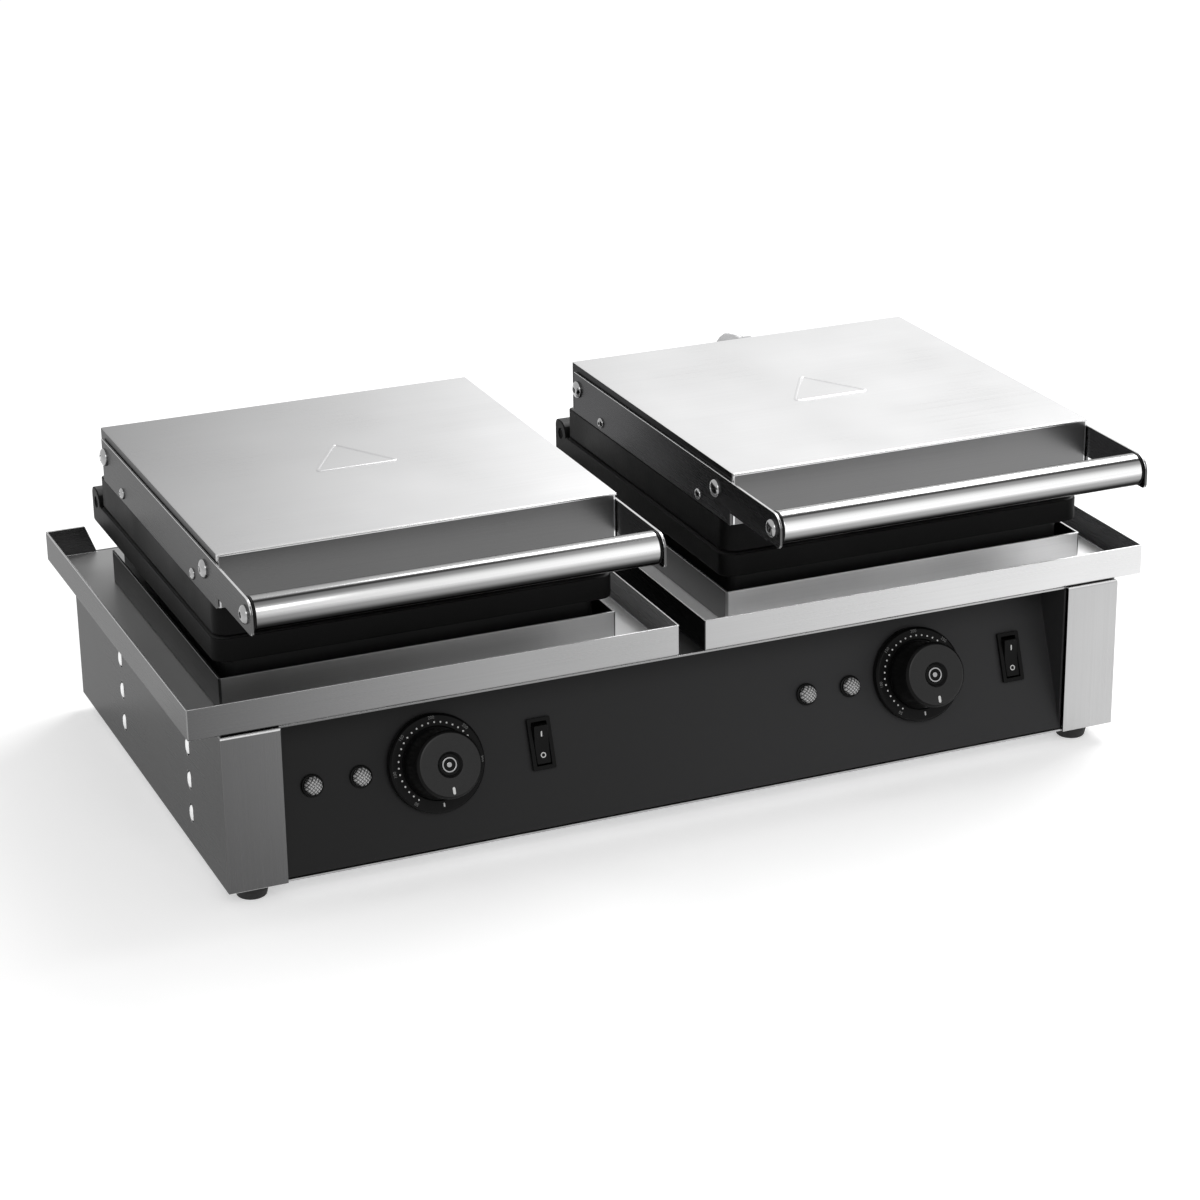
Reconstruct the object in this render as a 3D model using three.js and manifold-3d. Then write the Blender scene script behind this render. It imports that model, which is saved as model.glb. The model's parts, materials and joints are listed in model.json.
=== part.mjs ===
// A countertop double waffle maker: a steel cabinet that carries two hinged cast iron presses side by side.
// Units are millimetres, X runs to the right, Y to the back and Z up.
// Sizes below are given from the cabinet's front bottom edge, on the middle line between its two sides.

import * as THREE from 'three';
import { mergeVertices } from 'three/addons/utils/BufferGeometryUtils.js';
import Module from 'manifold-3d';

const wasm = await Module();
wasm.setup();

// General fits
const gap = 0.3;
const overrun = 4;

// Cabinet
const cabinetWidth = 560;
const cabinetDepth = 313;
const cabinetHeight = 93.3;
const cabinetSheet = 1.2;
const cheekWidth = 34.2;
const deckFrontSetback = 3;
const deckLedge = 30;
const ventWidth = 6;
const ventHeight = 11.5;
const ventPitch = 20.6;
const ventLowest = 20.5;
const ventRows = 3;
const ventFromFront = 68;
const ventFromBack = 104;

// Base plate and feet
const basePlateSheet = 1.2;
const baseSlotLength = 60;
const baseSlotWidth = 6;
const baseSlotPitch = 18;
const baseSlotCount = 5;
const baseSlotOffset = 140;
const footRadius = 10;
const footHeight = 11;
const footChamfer = 1.5;
const footInset = 18;

// Control panel
const panelTilt = 20;
const panelSheet = 1.5;
const panelSetback = 1.5;
const panelFlange = 1.2;
const controlHeight = 50.3;
const controlShares = { powerLamp: -0.2344, heatingLamp: -0.141, knob: 0.0033, rocker: 0.2131 };

// Dial, knob and thermostat
const dialRadius = 28.3;
const dialThickness = 5.6;
const dialEdge = 0.9;
const knobStandoff = 0.5;
const knobBaseRadius = 20;
const knobTopRadius = 19.2;
const knobHeight = 21;
const knobEdge = 2.5;
const knobHubRadius = 5.9;
const knobHubDepth = 0.9;
const knobBoreDepth = 14;
const shaftRadius = 3;
const shaftFit = 0.3;
const thermostatWidth = 34;
const thermostatHeight = 30;
const thermostatDepth = 24;
const thermostatCollarRadius = 4.4;

// Pilot lamps
const lampRingRadius = 6.5;
const lampRingRise = 1.8;
const lampLensRadius = 5.4;
const lampLensRise = 5.2;
const lampBodyRadius = 4.7;
const lampBodyLength = 16;

// Rocker switch
const bezelWidth = 14.2;
const bezelHeight = 30;
const bezelThickness = 2;
const bezelCorner = 1;
const switchBodyWidth = 12.2;
const switchBodyHeight = 27;
const switchBodyDepth = 15;
const rockerWidth = 8.8;
const rockerLength = 22.6;
const rockerRise = 3.4;
const rockerDip = 1.5;
const rockerDepth = 5;
const rockerTilt = 9;
const rockerRoom = 1.2;

// Drip tray
const trayOverhang = 17.2;
const trayBetween = 15.6;
const trayFront = 1.9;
const trayBeforeBack = 6.8;
const traySheet = 1.2;
const trayRimHeight = 18.6;
const trayBackReturn = 31;
const trayReturnSlant = 8;

// Collar round the lower press
const sideGutter = 27;
const frontGutter = 28.6;
const collarBeforePlateBack = 19.2;
const collarHeight = 19.8;
const collarSheet = 1.5;

// Pan that holds the lower heater
const panHeight = 28;
const panInset = 9;
const panSheet = 1.5;
const panCorner = 7;

// Cast plates
const plateOverCollar = 0.7;
const plateBehindCollarFront = 1.5;
const plateBeforeTrayBack = 37;
const plateCorner = 9;
const plateRearCorner = 3;
const lowerPlateThickness = 13.6;
const partingGap = 1.2;
const upperPlateInset = 1.6;
const upperPlateThickness = 18.9;
const plateRim = 9;
const recessDepth = 9;
const recessCorner = 5;
const studHeight = 7;
const studColumns = 4;
const studRows = 7;
const studBaseShare = 0.74;
const studTopShare = 0.6;
const dividerWidth = 6;
const dividerDrop = 0.4;
const screwLugWidth = 12;
const screwLugDepth = 16;
const screwLugRise = 10;
const screwFromPlateFront = 37;
const screwFromPlateBack = 55.2;

// Hinge
const hingeRadius = 8.8;
const hingeBehindPlate = 9.3;
const hingeAboveParting = 0.1;
const earWidth = 18;
const earReach = 8.5;
const earCorner = 4.5;
const earFootCorner = 2;
const knuckleWidth = 30;
const knuckleSideGap = 0.6;
const knuckleWebDepth = 12;
const pinRadius = 3;
const pinFit = 0.3;
const pinRecess = 0.4;

// Heating elements
const heaterRadius = 3.5;
const heaterInset = 28.6;

// Lid cover
const lidInset = 2.05;
const lidBeforePlate = 7;
const lidBeforePlateBack = 6.7;
const lidAbovePlate = 1.5;
const lidHeight = 31;
const lidSheet = 1.5;

// Side plates with their arms
const armSheet = 1.5;
const armBeforeLidBack = 7.5;
const armBelowLidTop = 4.6;
const armStep = 7.2;
const armReach = 65;
const armTopCorner = 9;
const armBottomCorner = 3;
const armHoleRadius = 2.7;

// Handle
const handleBehindArmFront = 10;
const handleRadius = 9.5;
const handleWall = 1.2;
const bushFlange = 1.2;
const bushSpigot = 10;
const screwShankRadius = 2.4;
const screwHeadRadius = 5.3;
const screwHeadRise = 3;
const screwGrip = 9;

// Flexible conduit from the cabinet to the lid
const hoseOffset = 7;
const hoseRibRadius = 6.5;
const hoseRootRadius = 5.4;
const hoseBoreRadius = 4.2;
const hoseRibPitch = 2.9;
const hoseBend = 19;
const hoseBeforeBack = 10.5;
const hoseBelowLidTopRight = 9.8;
const hoseBelowLidTopLeft = 19.4;
const nutRadius = 9.2;
const nutLength = 7;
const nutBoreRadius = 4.6;
const nutThreadRadius = 5.2;
const nutThreadLength = 4;
const nutHoleRadius = 5.6;
const trayNotchFit = 2;

// Mains inlet gland
const glandFromSide = 95;
const glandHeight = 45;
const glandNutRadius = 12;
const glandNutLength = 8;
const glandDomeRadius = 9.5;
const glandDomeLength = 9;
const glandThreadRadius = 7.4;
const glandThreadLength = 12;
const glandBoreRadius = 4.2;

// Facets
const cornerSteps = 3;
const domeSteps = 3;
const dialSides = 32;
const roundSides = 20;
const smallSides = 12;
const ventSteps = 2;
const heaterSteps = 26;
const heaterSectionSteps = 3;
const hexagonSides = 6;
const studSides = 4;
const hoseSides = 8;
const ribsPerBoreRing = 5;

// Finishes
const finishes = {
  brushedSteel: new THREE.MeshStandardMaterial({ color: 0xb9bbbd, roughness: 0.32, metalness: 1 }),
  polishedSteel: new THREE.MeshStandardMaterial({ color: 0xd2d4d6, roughness: 0.14, metalness: 1 }),
  castIron: new THREE.MeshStandardMaterial({ color: 0x161616, roughness: 0.62, metalness: 0.2 }),
  blackPaint: new THREE.MeshStandardMaterial({ color: 0x1d1d1f, roughness: 0.5, metalness: 0.1 }),
  blackPlastic: new THREE.MeshStandardMaterial({ color: 0x0c0c0d, roughness: 0.4, metalness: 0 }),
  lampLens: new THREE.MeshStandardMaterial({ color: 0xa8a8a8, roughness: 0.2, metalness: 0 }),
  rubber: new THREE.MeshStandardMaterial({ color: 0x111111, roughness: 0.8, metalness: 0 }),
  heaterSheath: new THREE.MeshStandardMaterial({ color: 0x4a4540, roughness: 0.5, metalness: 0.8 }),
  zincSteel: new THREE.MeshStandardMaterial({ color: 0xa6a8aa, roughness: 0.35, metalness: 1 }),
};

// Places across the cabinet
const halfCabinet = cabinetWidth / 2;
const panelHalfWidth = halfCabinet - cheekWidth - gap;
const trayWidth = halfCabinet + trayOverhang - trayBetween / 2;
const unitPitch = trayWidth + trayBetween;
const collarWidth = trayWidth - 2 * sideGutter;
const plateWidth = collarWidth + 2 * plateOverCollar;
const panHalfWidth = plateWidth / 2 - panInset;
const lidWidth = plateWidth - 2 * lidInset;
const armInnerFace = lidWidth / 2 + gap;
const armOuterFace = armInnerFace + armSheet;
const glandAcross = halfCabinet - glandFromSide;

// Places from front to back
const trayBack = cabinetDepth - trayBeforeBack;
const collarFront = trayFront + frontGutter;
const plateFront = collarFront + plateBehindCollarFront;
const plateBack = trayBack - plateBeforeTrayBack;
const collarBack = plateBack - collarBeforePlateBack;
const panFront = plateFront + panInset;
const panBack = plateBack - panInset;
const hingeY = plateBack + hingeBehindPlate;
const screwRows = [plateFront + screwFromPlateFront, plateBack - screwFromPlateBack];
const lidFront = plateFront - lidBeforePlate;
const lidBack = plateBack - lidBeforePlateBack;
const armFront = lidFront - armReach;
const armBack = lidBack - armBeforeLidBack;
const handleY = armFront + handleBehindArmFront;
const hoseY = cabinetDepth - hoseBeforeBack;

// Levels from the cabinet's bottom edge up
const slope = THREE.MathUtils.degToRad(panelTilt);
const trayFloorBottom = cabinetHeight + gap;
const trayFloorTop = trayFloorBottom + traySheet;
const trayRimTop = trayFloorBottom + trayRimHeight;
const collarBottom = trayFloorTop + gap;
const lowerPlateBottom = trayFloorTop + panHeight;
const partingLow = lowerPlateBottom + lowerPlateThickness;
const partingHigh = partingLow + partingGap;
const upperPlateTop = partingHigh + upperPlateThickness;
const hingeZ = partingLow + hingeAboveParting;
const lidBottom = upperPlateTop + lidAbovePlate;
const lidTop = lidBottom + lidHeight;
const armTop = lidTop - armBelowLidTop;
const armBottom = lidBottom + armStep;
const handleHeight = (armTop + armBottom) / 2;

const assembly = new THREE.Group();
const whole = new THREE.Group();
whole.add(assembly);

// A closed geometry becomes a solid that can be joined and cut.
function solid(geometry) {
  const bare = geometry.clone();
  bare.deleteAttribute('normal');
  bare.deleteAttribute('uv');
  const merged = mergeVertices(bare);
  return new wasm.Manifold(new wasm.Mesh({
    numProp: 3,
    vertProperties: new Float32Array(merged.attributes.position.array),
    triVerts: new Uint32Array(merged.index.array),
  }));
}

// A solid becomes a geometry again.
function geometryOf(body) {
  const mesh = body.getMesh();
  const geometry = new THREE.BufferGeometry();
  geometry.setAttribute('position', new THREE.BufferAttribute(mesh.vertProperties, 3));
  geometry.setIndex(new THREE.BufferAttribute(mesh.triVerts, 1));
  geometry.computeVertexNormals();
  return geometry;
}

// Adds one named piece to a group and returns it.
function piece(group, name, shape, material) {
  const geometry = shape.isBufferGeometry ? shape : geometryOf(shape);
  const mesh = new THREE.Mesh(geometry, material);
  mesh.name = name;
  group.add(mesh);
  return mesh;
}

// A box between two values on each axis
function box(x, y, z) {
  const geometry = new THREE.BoxGeometry(x[1] - x[0], y[1] - y[0], z[1] - z[0]);
  return solid(geometry.translate((x[0] + x[1]) / 2, (y[0] + y[1]) / 2, (z[0] + z[1]) / 2));
}

// A span of one width about a middle value
function about(middle, width) {
  return [middle - width / 2, middle + width / 2];
}

// A rectangle with its front pair and its rear pair of corners rounded
function roundedRectangle(x, y, frontCorner, rearCorner) {
  const quarter = Math.PI / 2;
  const shape = new THREE.Shape();
  shape.moveTo(x[0] + frontCorner, y[0]);
  shape.lineTo(x[1] - frontCorner, y[0]);
  shape.absarc(x[1] - frontCorner, y[0] + frontCorner, frontCorner, -quarter, 0, false);
  shape.lineTo(x[1], y[1] - rearCorner);
  shape.absarc(x[1] - rearCorner, y[1] - rearCorner, rearCorner, 0, quarter, false);
  shape.lineTo(x[0] + rearCorner, y[1]);
  shape.absarc(x[0] + rearCorner, y[1] - rearCorner, rearCorner, quarter, 2 * quarter, false);
  shape.lineTo(x[0], y[0] + frontCorner);
  shape.absarc(x[0] + frontCorner, y[0] + frontCorner, frontCorner, 2 * quarter, 3 * quarter, false);
  return shape;
}

// An outline seen from above, raised between two heights
function slab(shape, z, steps) {
  const geometry = new THREE.ExtrudeGeometry(shape, {
    depth: z[1] - z[0], bevelEnabled: false, curveSegments: steps,
  });
  return solid(geometry.translate(0, 0, z[0]));
}

// An outline drawn in Y and Z, given a thickness along X
function sideSlab(shape, x, steps) {
  const geometry = new THREE.ExtrudeGeometry(shape, {
    depth: x[1] - x[0], bevelEnabled: false, curveSegments: steps,
  });
  const turn = new THREE.Matrix4().makeBasis(
    new THREE.Vector3(0, 1, 0), new THREE.Vector3(0, 0, 1), new THREE.Vector3(1, 0, 0),
  );
  return solid(geometry.applyMatrix4(turn).translate(x[0], 0, 0));
}

// A round bar along X, Y or Z between two values on that axis
function bar(axis, radius, span, across, sides) {
  const geometry = new THREE.CylinderGeometry(radius, radius, span[1] - span[0], sides);
  const middle = (span[0] + span[1]) / 2;
  if (axis === 'x') {
    geometry.rotateZ(Math.PI / 2).translate(middle, across[0], across[1]);
  } else if (axis === 'y') {
    geometry.translate(across[0], middle, across[1]);
  } else {
    geometry.rotateX(Math.PI / 2).translate(across[0], across[1], middle);
  }
  return solid(geometry);
}

// A turned piece: rows of [radius, height], spun about Z
function turned(rows, sides) {
  const points = rows.map(([radius, height]) => new THREE.Vector2(radius, height));
  const geometry = new THREE.LatheGeometry(points, sides);
  return solid(geometry.rotateX(Math.PI / 2));
}

// The same turned piece with its own axis laid along X or Y
function turnedAlong(axis, rows, sides, place) {
  const body = turned(rows, sides);
  const laid = axis === 'x' ? body.rotate([0, 90, 0]) : body.rotate([-90, 0, 0]);
  return laid.translate(place);
}

// A hexagon bar along Z with two flats facing along Y
function hexagon(radius, z) {
  const geometry = new THREE.CylinderGeometry(radius, radius, z[1] - z[0], hexagonSides);
  geometry.rotateY(Math.PI / hexagonSides).rotateX(Math.PI / 2);
  return solid(geometry.translate(0, 0, (z[0] + z[1]) / 2));
}

function joined(bodies) {
  return bodies.reduce((sum, body) => sum.add(body));
}

function cut(body, tools) {
  return tools.reduce((rest, tool) => rest.subtract(tool), body);
}

// Cabinet: a folded shell, open below, with cheeks left and right of the control panel.
function cabinetShell() {
  const inner = halfCabinet - cabinetSheet;
  const outer = box([-halfCabinet, halfCabinet], [0, cabinetDepth], [0, cabinetHeight]);
  const hollow = box(
    [-inner, inner],
    [cabinetSheet, cabinetDepth - cabinetSheet],
    [-overrun, cabinetHeight - cabinetSheet],
  );
  const cheekEdge = halfCabinet - cheekWidth;
  const tools = [
    hollow,
    box([-cheekEdge, cheekEdge], [-overrun, deckFrontSetback], [-overrun, cabinetHeight + overrun]),
    bar('y', glandThreadRadius + gap, [cabinetDepth - overrun, cabinetDepth + overrun],
      [glandAcross, glandHeight], roundSides),
  ];
  for (const side of [-1, 1]) {
    const middle = side * unitPitch / 2;
    tools.push(box(
      about(middle, 2 * (panHalfWidth - deckLedge)),
      [panFront + deckLedge, panBack - deckLedge],
      [cabinetHeight - overrun, cabinetHeight + overrun],
    ));
    tools.push(bar('z', nutHoleRadius, [cabinetHeight - overrun, cabinetHeight + overrun],
      [middle + hoseOffset, hoseY], smallSides));
    for (const column of [ventFromFront, cabinetDepth - ventFromBack]) {
      for (let row = 0; row < ventRows; row += 1) {
        const low = ventLowest + row * ventPitch - ventHeight / 2;
        const slot = roundedRectangle(about(column, ventWidth), [low, low + ventHeight],
          ventWidth / 2 - gap, ventWidth / 2 - gap);
        tools.push(sideSlab(slot, about(side * halfCabinet, 2 * overrun), ventSteps));
      }
    }
  }
  return cut(outer, tools);
}

// Base plate that closes the cabinet from below, with two rows of air slots
function basePlate() {
  const halfWidth = halfCabinet - cabinetSheet - gap;
  const tools = [];
  for (const side of [-1, 1]) {
    for (let slot = 0; slot < baseSlotCount; slot += 1) {
      const across = side * baseSlotOffset;
      const along = cabinetDepth / 2 + (slot - (baseSlotCount - 1) / 2) * baseSlotPitch;
      tools.push(box(about(across, baseSlotLength), about(along, baseSlotWidth), [-overrun, overrun]));
    }
  }
  const front = panelSetback + gap;
  const back = cabinetDepth - cabinetSheet - gap;
  const plate = box([-halfWidth, halfWidth], [front, back], [0, basePlateSheet]);
  return cut(plate, tools);
}

// One rubber foot, standing below its corner of the base plate
function foot() {
  return turned([
    [0, -footHeight],
    [footRadius - footChamfer, -footHeight],
    [footRadius, footChamfer - footHeight],
    [footRadius, -gap],
    [0, -gap],
  ], roundSides);
}

// Control panel: a sloping sheet with a three-cornered flange folded forward at each end.
// It is drawn in the panel's own frame: X along it, Y up its slope and Z out of its face.
function controlPanel() {
  const bottom = (basePlateSheet + gap + panelSheet * Math.sin(slope)) / Math.cos(slope);
  const top = (cabinetHeight - cabinetSheet - gap) / Math.cos(slope);
  const sheet = box([-panelHalfWidth, panelHalfWidth], [bottom, top], [-panelSheet, 0]);
  const reach = (top - bottom) * Math.sin(slope);
  const flangeShape = new THREE.Shape();
  flangeShape.moveTo(bottom, -panelSheet / 2);
  flangeShape.lineTo(top, -panelSheet / 2);
  flangeShape.lineTo(top - reach * Math.sin(slope), reach * Math.cos(slope));
  const flanges = [-1, 1].map((side) => {
    const outer = side * panelHalfWidth;
    const inner = outer - side * panelFlange;
    return sideSlab(flangeShape, [Math.min(inner, outer), Math.max(inner, outer)], cornerSteps);
  });
  const tools = [];
  for (const side of [-1, 1]) {
    const middle = side * unitPitch / 2;
    const depth = [-overrun, overrun];
    for (const share of [controlShares.powerLamp, controlShares.heatingLamp]) {
      tools.push(bar('z', lampBodyRadius + gap, depth,
        [middle + share * unitPitch, controlHeight], smallSides));
    }
    tools.push(bar('z', thermostatCollarRadius + gap, depth,
      [middle + controlShares.knob * unitPitch, controlHeight], smallSides));
    tools.push(box(
      about(middle + controlShares.rocker * unitPitch, switchBodyWidth + 2 * gap),
      about(controlHeight, switchBodyHeight + 2 * gap),
      depth,
    ));
  }
  return cut(joined([sheet, ...flanges]), tools);
}

// Dial plate: a flat black disc fixed to the panel, with a hole for the thermostat collar
function dialPlate() {
  const hole = thermostatCollarRadius + gap;
  return turned([
    [hole, gap],
    [dialRadius, gap],
    [dialRadius, gap + dialThickness - dialEdge],
    [dialRadius - dialEdge, gap + dialThickness],
    [hole, gap + dialThickness],
    [hole, gap],
  ], dialSides);
}

// Knob: a tapered cap with a shallow hub recess in its face and a blind bore for the shaft
function knob() {
  const base = gap + dialThickness + knobStandoff;
  const top = base + knobHeight;
  const bore = shaftRadius + shaftFit;
  return turned([
    [bore, base],
    [knobBaseRadius, base],
    [knobTopRadius, top - knobEdge],
    [knobTopRadius - knobEdge / 3, top - knobEdge / 3],
    [knobTopRadius - knobEdge, top],
    [knobHubRadius + knobHubDepth, top],
    [knobHubRadius, top - knobHubDepth],
    [0, top - knobHubDepth],
    [0, base + knobBoreDepth],
    [bore, base + knobBoreDepth],
    [bore, base],
  ], roundSides);
}

// Thermostat: a body behind the panel, a threaded collar through it and a shaft up into the knob
function thermostat() {
  const behind = -panelSheet - gap;
  const shaftTop = gap + dialThickness + knobStandoff + knobBoreDepth - gap;
  return joined([
    box(about(0, thermostatWidth), about(0, thermostatHeight), [behind - thermostatDepth, behind]),
    bar('z', thermostatCollarRadius, [behind - gap, gap + dialThickness], [0, 0], smallSides),
    bar('z', shaftRadius, [0, shaftTop], [0, 0], smallSides),
  ]);
}

// Pilot lamp: a domed lens in a ring, on a round body that passes through the panel
function pilotLamp() {
  const crown = [];
  const ringTop = gap + lampRingRise;
  for (let step = 0; step <= domeSteps; step += 1) {
    const angle = step / domeSteps * Math.PI / 2;
    crown.push([lampLensRadius * Math.cos(angle), ringTop + lampLensRise * Math.sin(angle)]);
  }
  crown[domeSteps][0] = 0;
  return turned([
    [0, -lampBodyLength],
    [lampBodyRadius, -lampBodyLength],
    [lampBodyRadius, gap],
    [lampRingRadius, gap],
    [lampRingRadius, ringTop],
    ...crown,
  ], smallSides);
}

// Switch bezel: a frame on the panel with a closed housing behind it
function switchBezel() {
  const frame = roundedRectangle(about(0, bezelWidth), about(0, bezelHeight), bezelCorner, bezelCorner);
  const well = box(
    about(0, rockerWidth + 2 * gap),
    about(0, rockerLength + 2 * rockerRoom),
    [-rockerDepth - rockerRoom - panelSheet, overrun],
  );
  const housing = box(about(0, switchBodyWidth), about(0, switchBodyHeight), [-switchBodyDepth, 2 * gap]);
  return cut(joined([slab(frame, [gap, gap + bezelThickness], cornerSteps), housing]), [well]);
}

// Rocker: a paddle with a dipped face, drawn level and then tipped to its rest position
function rocker() {
  const half = rockerLength / 2;
  const crest = bezelThickness + rockerRise - rockerDip;
  const shape = new THREE.Shape();
  shape.moveTo(-half, -rockerDip);
  shape.lineTo(-half / 2, -rockerDepth);
  shape.lineTo(half / 2, -rockerDepth);
  shape.lineTo(half, -rockerDip);
  shape.lineTo(half, crest);
  shape.lineTo(0, crest - rockerDip);
  shape.lineTo(-half, crest);
  return sideSlab(shape, about(0, rockerWidth), cornerSteps).rotate([rockerTilt, 0, 0]);
}

// Drip tray: a floor with an upright rim. The rim's back is open between two short slanted returns.
function dripTray(middle) {
  const across = about(0, trayWidth);
  const inside = about(0, trayWidth - 2 * traySheet);
  const foot = trayWidth / 2 - trayBackReturn;
  const head = foot + trayReturnSlant;
  const opening = new THREE.Shape();
  opening.moveTo(-foot, trayFloorTop);
  opening.lineTo(foot, trayFloorTop);
  opening.lineTo(head, trayRimTop + overrun);
  opening.lineTo(-head, trayRimTop + overrun);
  const tools = [
    box(inside, [trayFront + traySheet, trayBack - traySheet], [trayFloorTop, trayRimTop + overrun]),
    slab(opening, [-trayBack - overrun, traySheet + overrun - trayBack], cornerSteps).rotate([90, 0, 0]),
    slab(
      roundedRectangle(
        about(0, 2 * (panHalfWidth + gap)), [panFront - gap, panBack + gap], panCorner, panCorner,
      ),
      [trayFloorBottom - overrun, trayFloorTop + overrun],
      cornerSteps,
    ),
    box(
      about(hoseOffset, 2 * (nutRadius + trayNotchFit)),
      [hoseY - nutRadius - trayNotchFit, trayBack + overrun],
      [trayFloorBottom - overrun, trayFloorTop + overrun],
    ),
  ];
  const block = box(across, [trayFront, trayBack], [trayFloorBottom, trayRimTop]);
  return cut(block, tools).translate([middle, 0, 0]);
}

// Collar: upright sheet that stands on the tray floor around the front and the sides of the lower press
function collar(middle) {
  const height = [collarBottom, collarBottom + collarHeight];
  const outer = box(about(middle, collarWidth), [collarFront, collarBack], height);
  const inner = box(
    about(middle, collarWidth - 2 * collarSheet),
    [collarFront + collarSheet, collarBack + overrun],
    [height[0] - overrun, height[1] + overrun],
  );
  return cut(outer, [inner]);
}

// Heater pan: stands on the cabinet deck, carries the lower plate on its upper edge
function heaterPan(middle) {
  const level = [cabinetHeight + gap, lowerPlateBottom - gap];
  const outline = roundedRectangle(
    about(middle, 2 * panHalfWidth), [panFront, panBack], panCorner, panCorner,
  );
  const inside = roundedRectangle(
    about(middle, 2 * (panHalfWidth - panSheet)),
    [panFront + panSheet, panBack - panSheet],
    panCorner - panSheet,
    panCorner - panSheet,
  );
  return cut(slab(outline, level, cornerSteps), [
    slab(inside, [level[0] + panSheet, level[1] + overrun], cornerSteps),
  ]);
}

// One stud of the waffle grid, a four-sided frustum that rises from z by its height
function stud(across, along, baseSize, topSize, z, rise) {
  const half = Math.SQRT1_2;
  const geometry = new THREE.CylinderGeometry(half, half, 1, studSides);
  geometry.rotateX(Math.PI / 2).rotateZ(Math.PI / studSides);
  const place = geometry.attributes.position;
  for (let i = 0; i < place.count; i += 1) {
    const size = place.getZ(i) > 0 ? topSize : baseSize;
    place.setXYZ(
      i,
      across + place.getX(i) * size[0],
      along + place.getY(i) * size[1],
      place.getZ(i) > 0 ? z + rise : z,
    );
  }
  return solid(geometry);
}

// The grid of one plate, drawn with its studs pointing up from the height floor
function waffleGrid(middle, recessX, recessY, floor, height) {
  const sunk = floor - gap;
  const bodies = [
    box(about(middle, dividerWidth), recessY, [sunk, floor + height - dividerDrop]),
  ];
  const halfWidth = (recessX[1] - recessX[0] - dividerWidth) / 2;
  const pitchX = halfWidth / studColumns;
  const pitchY = (recessY[1] - recessY[0]) / studRows;
  const baseSize = [pitchX * studBaseShare, pitchY * studBaseShare];
  const topSize = [pitchX * studTopShare, pitchY * studTopShare];
  for (const side of [-1, 1]) {
    for (let column = 0; column < studColumns; column += 1) {
      for (let row = 0; row < studRows; row += 1) {
        const across = middle + side * (dividerWidth / 2 + (column + 1 / 2) * pitchX);
        const along = recessY[0] + (row + 1 / 2) * pitchY;
        bodies.push(stud(across, along, baseSize, topSize, sunk, studHeight + gap));
      }
    }
  }
  return joined(bodies);
}

// Mirrors a body top to bottom about a height
function flipped(body, height) {
  return body.mirror([0, 0, 1]).translate([0, 0, 2 * height]);
}

// One cast plate with its recess and grid facing up, its rim at the height given by top
function castPlate(middle, inset, bottom, top) {
  const x = about(middle, plateWidth - 2 * inset);
  const y = [plateFront + inset, plateBack - gap];
  const recessX = about(middle, plateWidth - 2 * plateRim);
  const recessY = [plateFront + plateRim, plateBack - plateRim];
  const floor = top - recessDepth;
  const block = slab(roundedRectangle(x, y, plateCorner, plateRearCorner), [bottom, top], cornerSteps);
  const recess = slab(
    roundedRectangle(recessX, recessY, recessCorner, recessCorner), [floor, top + overrun], cornerSteps,
  );
  const grid = waffleGrid(middle, recessX, recessY, floor, recessDepth);
  return joined([cut(block, [recess]), grid]);
}

// Hinge ear seen from the side: round before the pin, square behind it, down to the plate's underside
function earOutline() {
  const quarter = Math.PI / 2;
  const back = hingeY + earReach;
  const top = hingeZ + earReach;
  const web = [plateBack - knuckleWebDepth, partingLow - gap];
  const foot = lowerPlateBottom + earFootCorner;
  const shape = new THREE.Shape();
  shape.moveTo(web[0], lowerPlateBottom);
  shape.lineTo(back - earFootCorner, lowerPlateBottom);
  shape.absarc(back - earFootCorner, foot, earFootCorner, -quarter, 0, false);
  shape.lineTo(back, top - earCorner);
  shape.absarc(back - earCorner, top - earCorner, earCorner, 0, quarter, false);
  shape.lineTo(hingeY, top);
  shape.absarc(hingeY, hingeZ, earReach, quarter, 2 * quarter, false);
  shape.lineTo(hingeY - earReach, web[1]);
  shape.lineTo(web[0], web[1]);
  return shape;
}

// Lower plate: cast with two ears at the back that carry the hinge pin
function lowerPlate(middle) {
  const halfWidth = plateWidth / 2;
  const bodies = [castPlate(middle, 0, lowerPlateBottom, partingLow)];
  for (const side of [-1, 1]) {
    const outer = middle + side * halfWidth;
    const inner = outer - side * earWidth;
    const span = [Math.min(inner, outer), Math.max(inner, outer)];
    bodies.push(sideSlab(earOutline(), span, cornerSteps));
  }
  const hole = bar('x', pinRadius + pinFit, about(middle, plateWidth + overrun),
    [hingeY, hingeZ], smallSides);
  return cut(joined(bodies), [hole]);
}

// Upper plate: the same casting turned over, with two hinge knuckles and four screw lugs
function upperPlate(middle) {
  const turnedOver = flipped(
    castPlate(middle, upperPlateInset, partingLow - upperPlateThickness, partingLow),
    (partingLow + partingHigh) / 2,
  );
  const bodies = [turnedOver];
  const halfWidth = plateWidth / 2;
  for (const side of [-1, 1]) {
    const outer = middle + side * (halfWidth - earWidth - knuckleSideGap);
    const inner = outer - side * knuckleWidth;
    const span = [Math.min(inner, outer), Math.max(inner, outer)];
    bodies.push(bar('x', hingeRadius, span, [hingeY, hingeZ], roundSides));
    bodies.push(box(span, [plateBack - knuckleWebDepth, hingeY], [partingHigh + gap, hingeZ + hingeRadius]));
    const lugFace = middle + side * (lidWidth / 2 - lidSheet - gap);
    const lugBack = lugFace - side * screwLugWidth;
    for (const along of screwRows) {
      bodies.push(box(
        [Math.min(lugFace, lugBack), Math.max(lugFace, lugBack)],
        about(along, screwLugDepth),
        [upperPlateTop - overrun, lidBottom + screwLugRise],
      ));
    }
  }
  const hole = bar('x', pinRadius + pinFit, about(middle, plateWidth + overrun),
    [hingeY, hingeZ], smallSides);
  return cut(joined(bodies), [hole]);
}

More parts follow.
